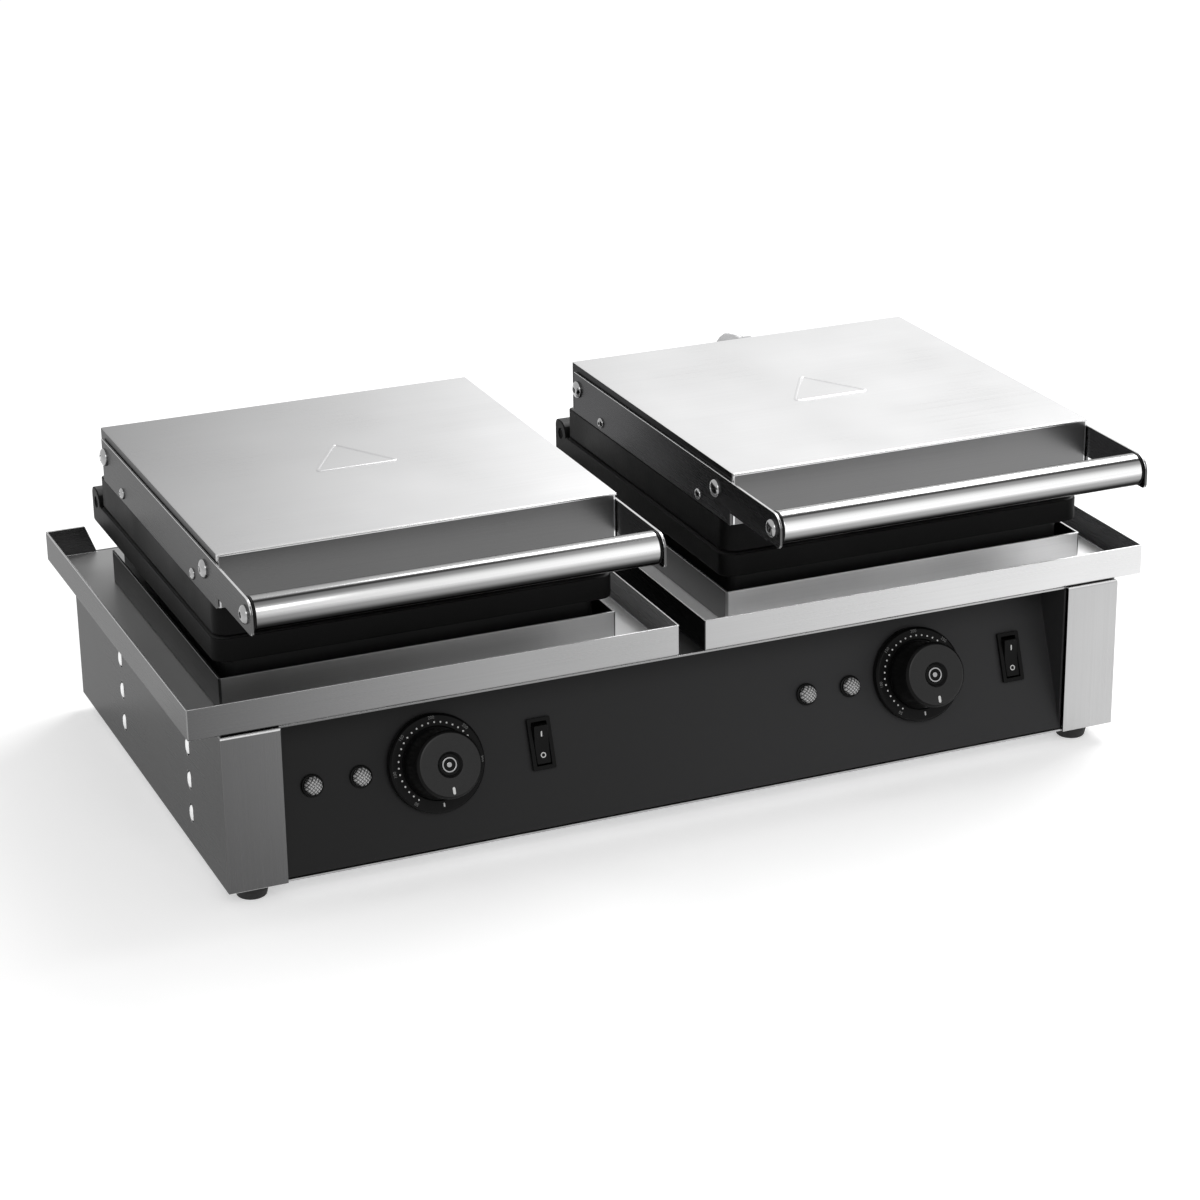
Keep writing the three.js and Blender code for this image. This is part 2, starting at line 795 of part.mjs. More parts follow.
// Tubular heating element: two hairpins joined by a bend at the back, all at one height
function heater(middle, height) {
  const outer = panHalfWidth - heaterInset;
  const inner = outer / 3;
  const corner = (outer - inner) / 2;
  const front = panFront + heaterInset;
  const rear = panBack - heaterInset;
  const half = [
    [outer, rear],
    [outer, (front + rear) / 2],
    [outer, front + corner],
    [inner + corner, front],
    [inner, front + corner],
    [inner, (front + rear) / 2],
    [inner, rear - inner],
  ];
  const route = [
    ...half.map(([across, along]) => new THREE.Vector3(-across, along, height)),
    new THREE.Vector3(0, rear, height),
    ...half.reverse().map(([across, along]) => new THREE.Vector3(across, along, height)),
  ];
  const section = new THREE.Shape();
  section.absarc(0, 0, heaterRadius, 0, 2 * Math.PI, false);
  const geometry = new THREE.ExtrudeGeometry(section, {
    steps: heaterSteps, extrudePath: new THREE.CatmullRomCurve3(route), curveSegments: heaterSectionSteps,
  });
  return geometry.translate(middle, 0, 0);
}

// Lid cover: a folded box, open below
function lidCover(middle, hoseHeight) {
  const outer = box(about(middle, lidWidth), [lidFront, lidBack], [lidBottom, lidTop]);
  const inner = box(
    about(middle, lidWidth - 2 * lidSheet),
    [lidFront + lidSheet, lidBack - lidSheet],
    [lidBottom - overrun, lidTop - lidSheet],
  );
  const hole = bar('y', nutHoleRadius, [lidBack - overrun, lidBack + overrun],
    [middle + hoseOffset, hoseHeight], smallSides);
  return cut(outer, [inner, hole]);
}

// Side plate with the arm that reaches forward to the handle
function lidArm(middle, side) {
  const quarter = Math.PI / 2;
  const shape = new THREE.Shape();
  shape.moveTo(armBack, lidBottom);
  shape.lineTo(armBack, armTop);
  shape.lineTo(armFront + armTopCorner, armTop);
  shape.absarc(armFront + armTopCorner, armTop - armTopCorner, armTopCorner, quarter, 2 * quarter, false);
  shape.lineTo(armFront, armBottom + armBottomCorner);
  shape.absarc(armFront + armBottomCorner, armBottom + armBottomCorner, armBottomCorner,
    2 * quarter, 3 * quarter, false);
  shape.lineTo(lidFront, armBottom);
  shape.lineTo(lidFront, lidBottom);
  const faces = [armInnerFace, armOuterFace].map((face) => middle + side * face);
  const span = [Math.min(...faces), Math.max(...faces)];
  const hole = bar('x', armHoleRadius, [span[0] - overrun, span[1] + overrun],
    [handleY, handleHeight], smallSides);
  return cut(sideSlab(shape, span, cornerSteps), [hole]);
}

// Handle tube between the two bushes
function handleTube(middle) {
  const half = armInnerFace - gap - bushFlange - gap;
  const rows = [
    [handleRadius - handleWall, -half],
    [handleRadius, -half],
    [handleRadius, half],
    [handleRadius - handleWall, half],
    [handleRadius - handleWall, -half],
  ];
  return turnedAlong('x', rows, roundSides, [middle, handleY, handleHeight]);
}

// Bush between the tube and an arm: a flange and a spigot that fits inside the tube
function handleBush(middle, side) {
  const flangeFace = -gap;
  const spigotRadius = handleRadius - handleWall - gap;
  const rows = [
    [screwShankRadius + gap, flangeFace - bushFlange - bushSpigot],
    [spigotRadius, flangeFace - bushFlange - bushSpigot],
    [spigotRadius, flangeFace - bushFlange],
    [handleRadius, flangeFace - bushFlange],
    [handleRadius, flangeFace],
    [screwShankRadius + gap, flangeFace],
    [screwShankRadius + gap, flangeFace - bushFlange - bushSpigot],
  ];
  const body = turned(rows, roundSides).rotate([0, side * 90, 0]);
  return body.translate([middle + side * armInnerFace, handleY, handleHeight]);
}

// Domed screw that holds one end of the handle
function handleScrew(middle, side) {
  const dome = [];
  for (let step = 0; step <= domeSteps; step += 1) {
    const angle = step / domeSteps * Math.PI / 2;
    dome.push([screwHeadRadius * Math.cos(angle), gap + screwHeadRise * Math.sin(angle)]);
  }
  dome[domeSteps][0] = 0;
  const rows = [
    [0, -armSheet - screwGrip],
    [screwShankRadius, -armSheet - screwGrip],
    [screwShankRadius, gap],
    ...dome,
  ];
  const body = turned(rows, smallSides).rotate([0, side * 90, 0]);
  return body.translate([middle + side * armOuterFace, handleY, handleHeight]);
}

// The hose runs straight back from the lid, bends once and drops to the cabinet deck.
function hoseRoute(hoseHeight) {
  const start = lidBack + gap + nutLength + gap;
  const bendStart = hoseY - hoseBend;
  const bottom = cabinetHeight + gap + nutLength + gap;
  const level = bendStart - start;
  const turn = hoseBend * Math.PI / 2;
  const drop = hoseHeight - hoseBend - bottom;
  return {
    length: level + turn + drop,
    // The place and the heading at a distance from the lid's end
    at(distance) {
      if (distance <= level) {
        return { y: start + distance, z: hoseHeight, heading: 0 };
      }
      if (distance >= level + turn) {
        return { y: hoseY, z: hoseHeight - hoseBend - (distance - level - turn), heading: Math.PI / 2 };
      }
      const heading = (distance - level) / hoseBend;
      return {
        y: bendStart + hoseBend * Math.sin(heading),
        z: hoseHeight - hoseBend + hoseBend * Math.cos(heading),
        heading,
      };
    },
  };
}

// Least clear distance between two stretches of the hose that are half a turn of its bend or more apart
function leastHoseGap(route) {
  const apart = Math.PI * hoseBend;
  const spots = [];
  for (let distance = 0; distance <= route.length; distance += hoseRibPitch) {
    spots.push([distance, route.at(distance)]);
  }
  let least = Infinity;
  for (const [here, a] of spots) {
    for (const [there, b] of spots) {
      if (there - here >= apart) {
        least = Math.min(least, Math.hypot(b.y - a.y, b.z - a.z) - 2 * hoseRibRadius);
      }
    }
  }
  return least;
}

// Ribbed hose with an open bore: rings of points are joined into one closed skin.
function conduit(middle, hoseHeight) {
  const route = hoseRoute(hoseHeight);
  const ribs = Math.round(route.length / hoseRibPitch);
  const step = route.length / ribs;
  const rings = [];
  console.log(`hose least gap to itself: ${leastHoseGap(route).toFixed(1)} mm`);
  for (let rib = 0; rib < ribs; rib += 1) {
    rings.push([rib * step, hoseRootRadius]);
    rings.push([(rib + 1 / 2) * step, hoseRibRadius]);
  }
  rings.push([route.length, hoseRootRadius]);
  for (let rib = ribs; rib >= 0; rib -= ribsPerBoreRing) {
    rings.push([rib * step, hoseBoreRadius]);
  }
  if (ribs % ribsPerBoreRing !== 0) {
    rings.push([0, hoseBoreRadius]);
  }
  const positions = [];
  for (const [distance, radius] of rings) {
    const spot = route.at(distance);
    for (let side = 0; side < hoseSides; side += 1) {
      const angle = side / hoseSides * 2 * Math.PI;
      const lift = radius * Math.sin(angle);
      positions.push(
        middle + hoseOffset + radius * Math.cos(angle),
        spot.y + lift * Math.sin(spot.heading),
        spot.z + lift * Math.cos(spot.heading),
      );
    }
  }
  const index = [];
  for (let ring = 0; ring < rings.length; ring += 1) {
    const next = (ring + 1) % rings.length;
    for (let side = 0; side < hoseSides; side += 1) {
      const beside = (side + 1) % hoseSides;
      const a = ring * hoseSides + side;
      const b = ring * hoseSides + beside;
      const c = next * hoseSides + beside;
      const d = next * hoseSides + side;
      index.push(a, c, b, a, d, c);
    }
  }
  const geometry = new THREE.BufferGeometry();
  geometry.setAttribute('position', new THREE.Float32BufferAttribute(positions, 3));
  geometry.setIndex(index);
  geometry.computeVertexNormals();
  return geometry;
}

// Hexagon nut with a short threaded neck and a through bore, drawn standing on z = 0
function conduitNut() {
  const body = joined([
    hexagon(nutRadius, [0, nutLength]),
    bar('z', nutThreadRadius, [-nutThreadLength, gap], [0, 0], smallSides),
  ]);
  return cut(body, [
    bar('z', nutBoreRadius, [-nutThreadLength - overrun, nutLength + overrun], [0, 0], smallSides),
  ]);
}

// Gland for the mains lead in the cabinet's back wall
function cableGland() {
  const body = joined([
    bar('z', glandThreadRadius, [-glandThreadLength, gap], [0, 0], roundSides),
    hexagon(glandNutRadius, [0, glandNutLength]),
    turned([
      [0, glandNutLength - gap],
      [glandDomeRadius, glandNutLength - gap],
      [glandDomeRadius, glandNutLength + glandDomeLength / 2],
      [glandBoreRadius + gap, glandNutLength + glandDomeLength],
      [0, glandNutLength + glandDomeLength],
    ], roundSides),
  ]);
  const outerEnd = glandNutLength + glandDomeLength;
  const bore = bar('z', glandBoreRadius, [-glandThreadLength - overrun, outerEnd + overrun],
    [0, 0], smallSides);
  return cut(body, [bore]).rotate([-90, 0, 0]).translate([glandAcross, cabinetDepth + gap, glandHeight]);
}

// The cabinet and what it stands on
piece(assembly, 'cabinet_shell', cabinetShell(), finishes.brushedSteel);
piece(assembly, 'base_plate', basePlate(), finishes.zincSteel);
const footSpots = [
  ['foot_front_left', -halfCabinet + footInset, footInset],
  ['foot_front_right', halfCabinet - footInset, footInset],
  ['foot_rear_left', -halfCabinet + footInset, cabinetDepth - footInset],
  ['foot_rear_right', halfCabinet - footInset, cabinetDepth - footInset],
];
for (const [name, across, along] of footSpots) {
  piece(assembly, name, foot(), finishes.rubber).position.set(across, along, 0);
}
piece(assembly, 'cable_gland', cableGland(), finishes.blackPlastic);

// The control panel and its fittings share one tilted frame.
const panelGroup = new THREE.Group();
panelGroup.position.set(0, panelSetback, 0);
panelGroup.rotation.x = Math.PI / 2 - slope;
assembly.add(panelGroup);
piece(panelGroup, 'control_panel', controlPanel(), finishes.blackPaint);

// One press with its tray, lid and controls
function addUnit(label, side, hoseHeight) {
  const middle = side * unitPitch / 2;
  const named = (name) => `${name}_${label}`;
  piece(assembly, named('drip_tray'), dripTray(middle), finishes.brushedSteel);
  piece(assembly, named('collar'), collar(middle), finishes.brushedSteel);
  piece(assembly, named('heater_pan'), heaterPan(middle), finishes.blackPaint);
  piece(assembly, named('lower_heater'), heater(middle, lowerPlateBottom - gap - heaterRadius),
    finishes.heaterSheath);
  piece(assembly, named('lower_plate'), lowerPlate(middle), finishes.castIron);
  const pinHalf = plateWidth / 2 - pinRecess;
  const hingePin = bar('x', pinRadius, [middle - pinHalf, middle + pinHalf], [hingeY, hingeZ], smallSides);
  piece(assembly, named('hinge_pin'), hingePin, finishes.zincSteel);
  piece(assembly, named('upper_plate'), upperPlate(middle), finishes.castIron);
  piece(assembly, named('upper_heater'), heater(middle, upperPlateTop + gap + heaterRadius),
    finishes.heaterSheath);
  piece(assembly, named('lid_cover'), lidCover(middle, hoseHeight), finishes.brushedSteel);
  for (const [end, hand] of [['outer', side], ['inner', -side]]) {
    piece(assembly, named(`lid_arm_${end}`), lidArm(middle, hand), finishes.brushedSteel);
    piece(assembly, named(`handle_bush_${end}`), handleBush(middle, hand), finishes.blackPlastic);
    piece(assembly, named(`handle_screw_${end}`), handleScrew(middle, hand), finishes.polishedSteel);
  }
  piece(assembly, named('handle_tube'), handleTube(middle), finishes.polishedSteel);
  piece(assembly, named('conduit'), conduit(middle, hoseHeight), finishes.zincSteel);
  piece(assembly, named('conduit_nut_base'),
    conduitNut().translate([middle + hoseOffset, hoseY, cabinetHeight + gap]), finishes.zincSteel);
  piece(assembly, named('conduit_nut_lid'),
    conduitNut().rotate([-90, 0, 0]).translate([middle + hoseOffset, lidBack + gap, hoseHeight]),
    finishes.zincSteel);

  const onPanel = (name, shape, material, share) => {
    const across = middle + share * unitPitch;
    piece(panelGroup, named(name), shape, material).position.set(across, controlHeight, 0);
  };
  onPanel('dial_plate', dialPlate(), finishes.blackPlastic, controlShares.knob);
  onPanel('thermostat', thermostat(), finishes.zincSteel, controlShares.knob);
  onPanel('knob', knob(), finishes.blackPlastic, controlShares.knob);
  onPanel('power_lamp', pilotLamp(), finishes.lampLens, controlShares.powerLamp);
  onPanel('heating_lamp', pilotLamp(), finishes.lampLens, controlShares.heatingLamp);
  onPanel('switch_bezel', switchBezel(), finishes.blackPlastic, controlShares.rocker);
  onPanel('switch_rocker', rocker(), finishes.blackPlastic, controlShares.rocker);
}

addUnit('left', -1, lidTop - hoseBelowLidTopLeft);
addUnit('right', 1, lidTop - hoseBelowLidTopRight);

// The origin lies on the floor, under the middle of the whole object.
const backReach = cabinetDepth + gap + glandNutLength + glandDomeLength;
assembly.position.set(0, -(armFront + backReach) / 2, footHeight);
whole.updateMatrixWorld(true);

export default whole;
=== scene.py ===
import json
import math

import bmesh
import bpy
from bpy.props import FloatProperty, FloatVectorProperty, IntProperty, PointerProperty
from mathutils import Matrix, Vector
from mathutils.geometry import delaunay_2d_cdt


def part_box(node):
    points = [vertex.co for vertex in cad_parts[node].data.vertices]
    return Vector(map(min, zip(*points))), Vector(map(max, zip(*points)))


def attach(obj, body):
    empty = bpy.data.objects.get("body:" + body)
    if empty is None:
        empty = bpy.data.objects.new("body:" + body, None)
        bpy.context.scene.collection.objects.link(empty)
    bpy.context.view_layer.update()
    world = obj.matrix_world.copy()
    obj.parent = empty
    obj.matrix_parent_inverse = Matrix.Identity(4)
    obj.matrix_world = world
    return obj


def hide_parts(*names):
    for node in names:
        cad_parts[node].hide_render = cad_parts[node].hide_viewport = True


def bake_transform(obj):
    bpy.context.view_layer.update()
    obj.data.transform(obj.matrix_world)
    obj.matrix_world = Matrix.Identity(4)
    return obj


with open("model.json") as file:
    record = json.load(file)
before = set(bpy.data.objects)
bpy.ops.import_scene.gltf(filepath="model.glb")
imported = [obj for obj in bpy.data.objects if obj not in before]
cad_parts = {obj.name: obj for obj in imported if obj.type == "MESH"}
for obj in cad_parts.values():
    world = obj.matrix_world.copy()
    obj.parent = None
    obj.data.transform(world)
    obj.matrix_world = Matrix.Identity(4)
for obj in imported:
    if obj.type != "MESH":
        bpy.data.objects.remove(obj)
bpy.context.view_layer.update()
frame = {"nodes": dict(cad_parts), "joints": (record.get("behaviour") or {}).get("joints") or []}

bl_info = {
    "name": "Double waffle maker",
    "version": (1, 0, 0),
    "blender": (4, 5, 0),
    "location": "3D View > Sidebar > Waffle maker",
    "description": "Dresses a countertop double waffle maker and its studio",
    "category": "Object",
}

MM = 0.001
UP = Vector((0, 0, 1))
UNITS = ("left", "right")
SIDE = {"left": -1, "right": 1}
ENDS = {"outer": 1, "inner": -1}
JOINTS = {joint["name"]: joint for joint in frame["joints"]}

# How near two corners count as one, a corner lies on a plane and a point on the side of a box, in metres
MERGE = 2e-6
ON_PLANE = 1.5e-6
ON_SIDE = 1e-5
# Turns: from this one on an edge is rounded, and up to this one a flat face keeps its own normal
SHARP_TURN = math.radians(28)
FLAT_TURN = math.radians(2)
# Rounding along the cut edges of the smaller sheets, in millimetres
SMALL_SHEET_EDGE = 0.3
# Places of the finishes on a softened solid, by which way a face looks: they carry lit and shaded copies of
# one steel, painted light and shade, and where a piece gives its rounded edges the edge steel, a painted
# highlight
LEVEL, FRONT, LEFT, EDGE = range(4)
# Sides of a node's box, as an axis and an end of it
LOW, HIGH = range(2)
BOTTOM, TOP = (2, LOW), (2, HIGH)

# Finishes and geometry trees by name, filled by main
FINISH = {}
TREES = {}


# Sizes and colours that a user may change

def millimetres(name, description, default, low, high):
    """A size in millimetres."""
    return FloatProperty(name=name, description=description + ", in millimetres", default=default,
                         min=low, max=high)


def base_colour(name, description, *level):
    """A base colour."""
    return FloatVectorProperty(name=name, description=description, subtype="COLOR", size=3,
                               default=level, min=0.0, max=1.0)


class WaffleSizes(bpy.types.PropertyGroup):
    """Sizes of the folds, edges, fixings and markings."""

    sheet_edge: millimetres("Sheet edge", "Rounding along the cut edge of a sheet", 0.22, 0.02, 0.5)
    fold_radius: millimetres("Fold radius", "Outer radius of a fold in the steel sheet", 1.3, 0.2, 3.0)
    casting_edge: millimetres("Casting edge", "Rounding of the edges of the cast plates", 0.7, 0.1, 1.5)
    large_screw: millimetres(
        "Large screw", "Head radius of the large screws in the side plates", 5.4, 2.0, 7.0)
    small_screw: millimetres(
        "Small screw", "Head radius of the small screws in the side plates", 3.4, 1.0, 5.0)
    dot_count: IntProperty(
        name="Dial dots", description="Number of dots along the dial's scale",
        default=27, min=8, max=40)
    dot_radius: millimetres("Dot radius", "Radius of one dial dot", 0.52, 0.2, 1.2)
    rib_pitch: millimetres("Rib pitch", "Distance from one conduit rib to the next", 2.9, 1.5, 6.0)
    bead_width: millimetres("Bead width", "Width of the raised bead on each lid", 2.4, 0.8, 4.0)


class WaffleColours(bpy.types.PropertyGroup):
    """Base colours of the finishes. Brushed steel runs from a left to a right tone, a painted reflection and
    shade that is dark at the left and light at the right.
    """

    # The lid, front and side tones are painted light and shade: each face takes them by which way it looks
    top_left: base_colour("Lid, left", "Brushed steel of the lids at the far left", 0.2, 0.2, 0.202)
    top_right: base_colour("Lid, right", "Brushed steel of the lids from the middle on", 0.7, 0.7, 0.702)
    front_left: base_colour(
        "Front, left", "Steel that looks forward, at the far left", 0.105, 0.105, 0.106)
    front_right: base_colour(
        "Front, right", "Steel that looks forward, at the far right", 0.7, 0.7, 0.702)
    side_left: base_colour(
        "Side, left", "Steel that looks to the left, at the far left", 0.15, 0.15, 0.151)
    side_right: base_colour(
        "Side, right", "Steel that looks to the left, from the middle on", 0.045, 0.045, 0.046)
    # The edge tone is a painted highlight along folds and cut edges
    edge: base_colour("Edges", "Bright steel on folds and cut edges", 0.72, 0.72, 0.722)
    polished: base_colour("Polished steel", "Screws and the ring of each knob", 0.36, 0.36, 0.362)
    iron: base_colour("Cast iron", "Seasoned cooking plates", 0.004, 0.004, 0.004)
    paint: base_colour(
        "Black paint", "Control panel and the pans under the plates", 0.006, 0.006, 0.0062)
    plastic: base_colour(
        "Black plastic", "Dials, knobs, switches, lamp bodies and bushes", 0.004, 0.004, 0.004)
    lens: base_colour("Lamp lens", "Pilot lamp lenses", 0.3, 0.3, 0.3)


def sizes():
    return bpy.context.scene.waffle_sizes


def colours():
    return bpy.context.scene.waffle_colours


# Meshes

def object_from(name, data):
    """A new object at the origin that carries a mesh, a curve, a light or a camera."""
    thing = bpy.data.objects.new(name, data)
    bpy.context.scene.collection.objects.link(thing)
    return thing


def evaluated_mesh(thing):
    """The mesh that an object's modifiers or its text make."""
    bpy.context.view_layer.update()
    graph = bpy.context.evaluated_depsgraph_get()
    return bpy.data.meshes.new_from_object(thing.evaluated_get(graph))


def plain_mesh(thing):
    """The mesh of a helper object, which is removed."""
    mesh = evaluated_mesh(thing)
    bpy.data.objects.remove(thing)
    return mesh


def mesh_from(work, name):
    """A named mesh from a bmesh, which is freed."""
    mesh = bpy.data.meshes.new(name)
    work.to_mesh(mesh)
    work.free()
    return mesh


def ring_skin(name, rings, joined=False):
    """A skin over rings of points; a ring with one point is a pole, and joined closes last on first."""
    work = bmesh.new()
    rows = [[work.verts.new(point) for point in row] for row in rings]
    pairs = list(zip(rows, rows[1:]))
    if joined:
        pairs.append((rows[-1], rows[0]))
    for low, high in pairs:
        count = max(len(low), len(high))
        for i in range(count):
            j = (i + 1) % count
            corners = [low[i % len(low)], low[j % len(low)], high[j % len(high)], high[i % len(high)]]
            corners = [v for k, v in enumerate(corners) if v not in corners[:k]]
            if len(corners) > 2:
                work.faces.new(corners)
    bmesh.ops.recalc_face_normals(work, faces=work.faces)
    for face in work.faces:
        face.smooth = True
    return mesh_from(work, name)


def corner_curve(start, corner, end, steps):
    """Points of a curve from start to end that bends towards a corner."""
    shares = [k / steps for k in range(steps + 1)]
    return [start * (1 - t) ** 2 + corner * 2 * t * (1 - t) + end * t ** 2 for t in shares]


def filleted(corners):
    """Rounds the corners of a profile; each corner is (radius, height) or (radius, height, rounding)."""
    points = []
    last = len(corners) - 1
    for i, corner in enumerate(corners):
        here = Vector(corner[:2])
        rounding = corner[2] if len(corner) > 2 else 0.0
        if i in (0, last) or rounding <= 0.0:
            points.append(here)
            continue
        before = Vector(corners[i - 1][:2]) - here
        after = Vector(corners[i + 1][:2]) - here
        half = before.angle(after) / 2
        reach = min(rounding / math.tan(half), before.length * 0.49, after.length * 0.49)
        start = here + before.normalized() * reach
        end = here + after.normalized() * reach
        points += corner_curve(start, here, end, 5)
    return points


def ring(sides, reach_at, height, place=Matrix()):
    """A ring of points about local Z, in millimetres, whose distance from it follows the angle."""
    points = []
    for i in range(sides):
        angle = 2 * math.pi * i / sides
        reach = reach_at(angle)
        points.append(place @ (Vector((reach * math.cos(angle), reach * math.sin(angle), height)) * MM))
    return points


def turned(name, corners, sides, place):
    """A piece turned about local Z from a profile in millimetres, put in place."""
    rings = []
    for radius, height in filleted(corners):
        if abs(radius) < 1e-6:
            rings.append([place @ (UP * height * MM)])
        else:
            rings.append(ring(sides, lambda angle: radius, height, place))
    return crisp(ring_skin(name, rings))


def crisp(mesh, angle=34):
    """Marks the edges that turn by more than an angle, so that flats stay flat in smooth shading."""
    work = bmesh.new()
    work.from_mesh(mesh)
    limit = math.radians(angle)
    for edge in work.edges:
        edge.smooth = len(edge.link_faces) == 2 and edge.calc_face_angle(0.0) < limit
    work.to_mesh(mesh)
    work.free()
    return mesh


def merged_copy(node):
    """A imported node's solid, with its loose triangles merged."""
    work = bmesh.new()
    work.from_mesh(frame["nodes"][node].data)
    bmesh.ops.remove_doubles(work, verts=work.verts, dist=MERGE)
    return work


def planes_of(work):
    """The planes that hold three or more triangles of a solid, each as its normal and distance."""
    planes = {}
    for face in work.faces:
        normal = face.normal
        distance = normal.dot(face.verts[0].co)
        key = (round(normal.x, 3), round(normal.y, 3), round(normal.z, 3), round(distance, 5))
        planes.setdefault(key, [normal.copy(), distance, 0])[2] += 1
    return [(normal, distance) for normal, distance, count in planes.values() if count >= 3]


def within(spot, points, lines):
    """Whether a spot lies inside outlines, holes left out, by the lines that a level ray crosses."""
    inside = False
    for start, end in lines:
        a, b = points[start], points[end]
        if (a.y > spot.y) != (b.y > spot.y):
            if a.x + (spot.y - a.y) / (b.y - a.y) * (b.x - a.x) > spot.x:
                inside = not inside
    return inside


def refill(work, planes):
    """Fills each plane anew between its outlines, so that it has no folded or overlapping faces. Where two
    outlines cross, they get a corner in common."""
    for normal, distance in planes:
        near = dict.fromkeys(v for v in work.verts if abs(normal.dot(v.co) - distance) < ON_PLANE)
        around = dict.fromkeys(f for v in near for f in v.link_faces)
        faces = [f for f in around if all(v in near for v in f.verts)]
        if len(faces) < 3:
            continue
        flat = set(faces)
        edges = dict.fromkeys(e for f in faces for e in f.edges)
        rim = [e for e in edges if sum(f in flat for f in e.link_faces) == 1]
        corners = list(dict.fromkeys(v for e in rim for v in e.verts))
        place = {v: i for i, v in enumerate(corners)}
        across = normal.orthogonal().normalized()
        along = normal.cross(across)
        points = [Vector((v.co.dot(across), v.co.dot(along))) for v in corners]
        lines = [(place[e.verts[0]], place[e.verts[1]]) for e in rim]
        spots, _, fills, sources, _, _ = delaunay_2d_cdt(points, lines, [], 2, 1e-8)
        group = faces[0].material_index
        bmesh.ops.delete(work, geom=faces, context="FACES_KEEP_BOUNDARY")
        ends = []
        for spot, source in zip(spots, sources):
            new = across * spot.x + along * spot.y + normal * distance
            ends.append(corners[source[0]] if source else work.verts.new(new))
        for fill in fills:
            loop = [ends[i] for i in fill]
            middle = sum((spots[i] for i in fill), Vector((0, 0))) / len(fill)
            if len(set(loop)) < 3 or work.faces.get(loop) or not within(middle, points, lines):
                continue
            face = work.faces.new(loop)
            face.normal_update()
            if face.normal.dot(normal) < 0:
                face.normal_flip()
            face.material_index = group
            face.smooth = True


def hold_normals(mesh):
    """Keeps flats flat: a corner takes its normal from the faces that aren't part of a rounded edge."""
    flats = [Vector() for _ in mesh.vertices]
    rounds = [Vector() for _ in mesh.vertices]
    for face in mesh.polygons:
        store = rounds if face.material_index == EDGE else flats
        for index in face.vertices:
            store[index] += face.normal * face.area
    normals = [(flat if flat.length > 0 else other).normalized() for flat, other in zip(flats, rounds)]
    corners = [normals[loop.vertex_index] for loop in mesh.loops]
    for face in mesh.polygons:
        for index in face.loop_indices:
            if face.material_index != EDGE and corners[index].angle(face.normal, 1.0) < FLAT_TURN:
                corners[index] = face.normal.copy()
    mesh.normals_split_custom_set(corners)


def zone_of(normal):
    """The finish's place for a face that looks up or down, to the left, or any other way; each place takes
    its own painted light or shade.
    """
    if abs(normal.z) > 0.7:
        return LEVEL
    return LEFT if -normal.x > abs(normal.y) else FRONT


def softened(name, node, edge, fold=0.0, is_fold=None, steps=3, upright=False):
    """A node's solid with edges rounded by edge, in millimetres. Those that is_fold names are rounded by
    fold. With upright set, an upright edge takes the painted tone of the face beside it rather than the
    painted edge highlight."""
    work = merged_copy(node)
    planes = planes_of(work)
    layer = work.edges.layers.float.new("bevel_weight_edge")
    widest = max(edge, fold)
    low, high, _ = box(node)
    for line in work.edges:
        if len(line.link_faces) != 2 or line.calc_face_angle(0.0) < SHARP_TURN:
            continue
        middle = (line.verts[0].co + line.verts[1].co) / 2
        folded = is_fold is not None and is_fold(middle, low, high)
        line[layer] = fold / widest if folded else edge / widest
    for face in work.faces:
        face.smooth = True
        face.material_index = zone_of(face.normal)
    thing = object_from(name, mesh_from(work, name))
    # Stand-ins that keep the places until finish_piece sets the finishes
    for _ in (LEVEL, FRONT, LEFT, EDGE):
        thing.data.materials.append(FINISH["print"])
    bevel = thing.modifiers.new("edges", "BEVEL")
    bevel.limit_method = "WEIGHT"
    bevel.width = widest * MM
    bevel.segments = steps
    bevel.use_clamp_overlap = False
    bevel.material = EDGE
    thing.data = evaluated_mesh(thing)
    thing.modifiers.clear()
    work = bmesh.new()
    work.from_mesh(thing.data)
    refill(work, planes)
    work.to_mesh(thing.data)
    work.free()
    hold_normals(thing.data)
    if upright:
        for face in thing.data.polygons:
            if face.material_index == EDGE and abs(face.normal.z) < 0.3:
                face.material_index = zone_of(face.normal)
    return thing


def outer_fold(*skip):
    """A test whether an edge's middle lies on an outer corner line of its node. Skip names sides of the
    node's box that have no fold: TOP, BOTTOM or both."""
    def test(middle, low, high):
        hits = [(axis, side) for axis in range(3) for side, corner in ((LOW, low), (HIGH, high))
                if abs(middle[axis] - corner[axis]) < ON_SIDE]
        return len(hits) >= 2 and not any(hit in skip for hit in hits)
    return test


def finish_piece(thing, finishes, body, nodes):
    """Gives a piece its finishes by name and its body, and hides the nodes that it stands for."""
    places = [face.material_index for face in thing.data.polygons]
    thing.data.materials.clear()
    for finish in finishes:
        thing.data.materials.append(FINISH[finish])
    last = len(finishes) - 1
    for face, place in zip(thing.data.polygons, places):
        face.material_index = min(place, last)
    if nodes:
        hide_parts(*nodes)
    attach(thing, body)


def piece(name, mesh, finish, body, nodes=()):
    """A finished piece from a mesh and one finish."""
    finish_piece(object_from(name, mesh), [finish], body, nodes)


def join_meshes(name, meshes):
    """One mesh out of several."""
    work = bmesh.new()
    for mesh in meshes:
        work.from_mesh(mesh)
    return mesh_from(work, name)


def dress_node(node, finish):
    """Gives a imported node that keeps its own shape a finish."""
    for slot in frame["nodes"][node].material_slots:
        slot.material = FINISH[finish]


# Places

def box(node):
    """A node's lowest and highest corners and its middle."""
    low, high = (Vector(corner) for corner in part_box(node))
    return low, high, (low + high) / 2


def outer_face(node, hand):
    """How far along X a node reaches, to the left for a hand of -1 and to the right for 1."""
    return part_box(node)[1 if hand > 0 else 0][0]


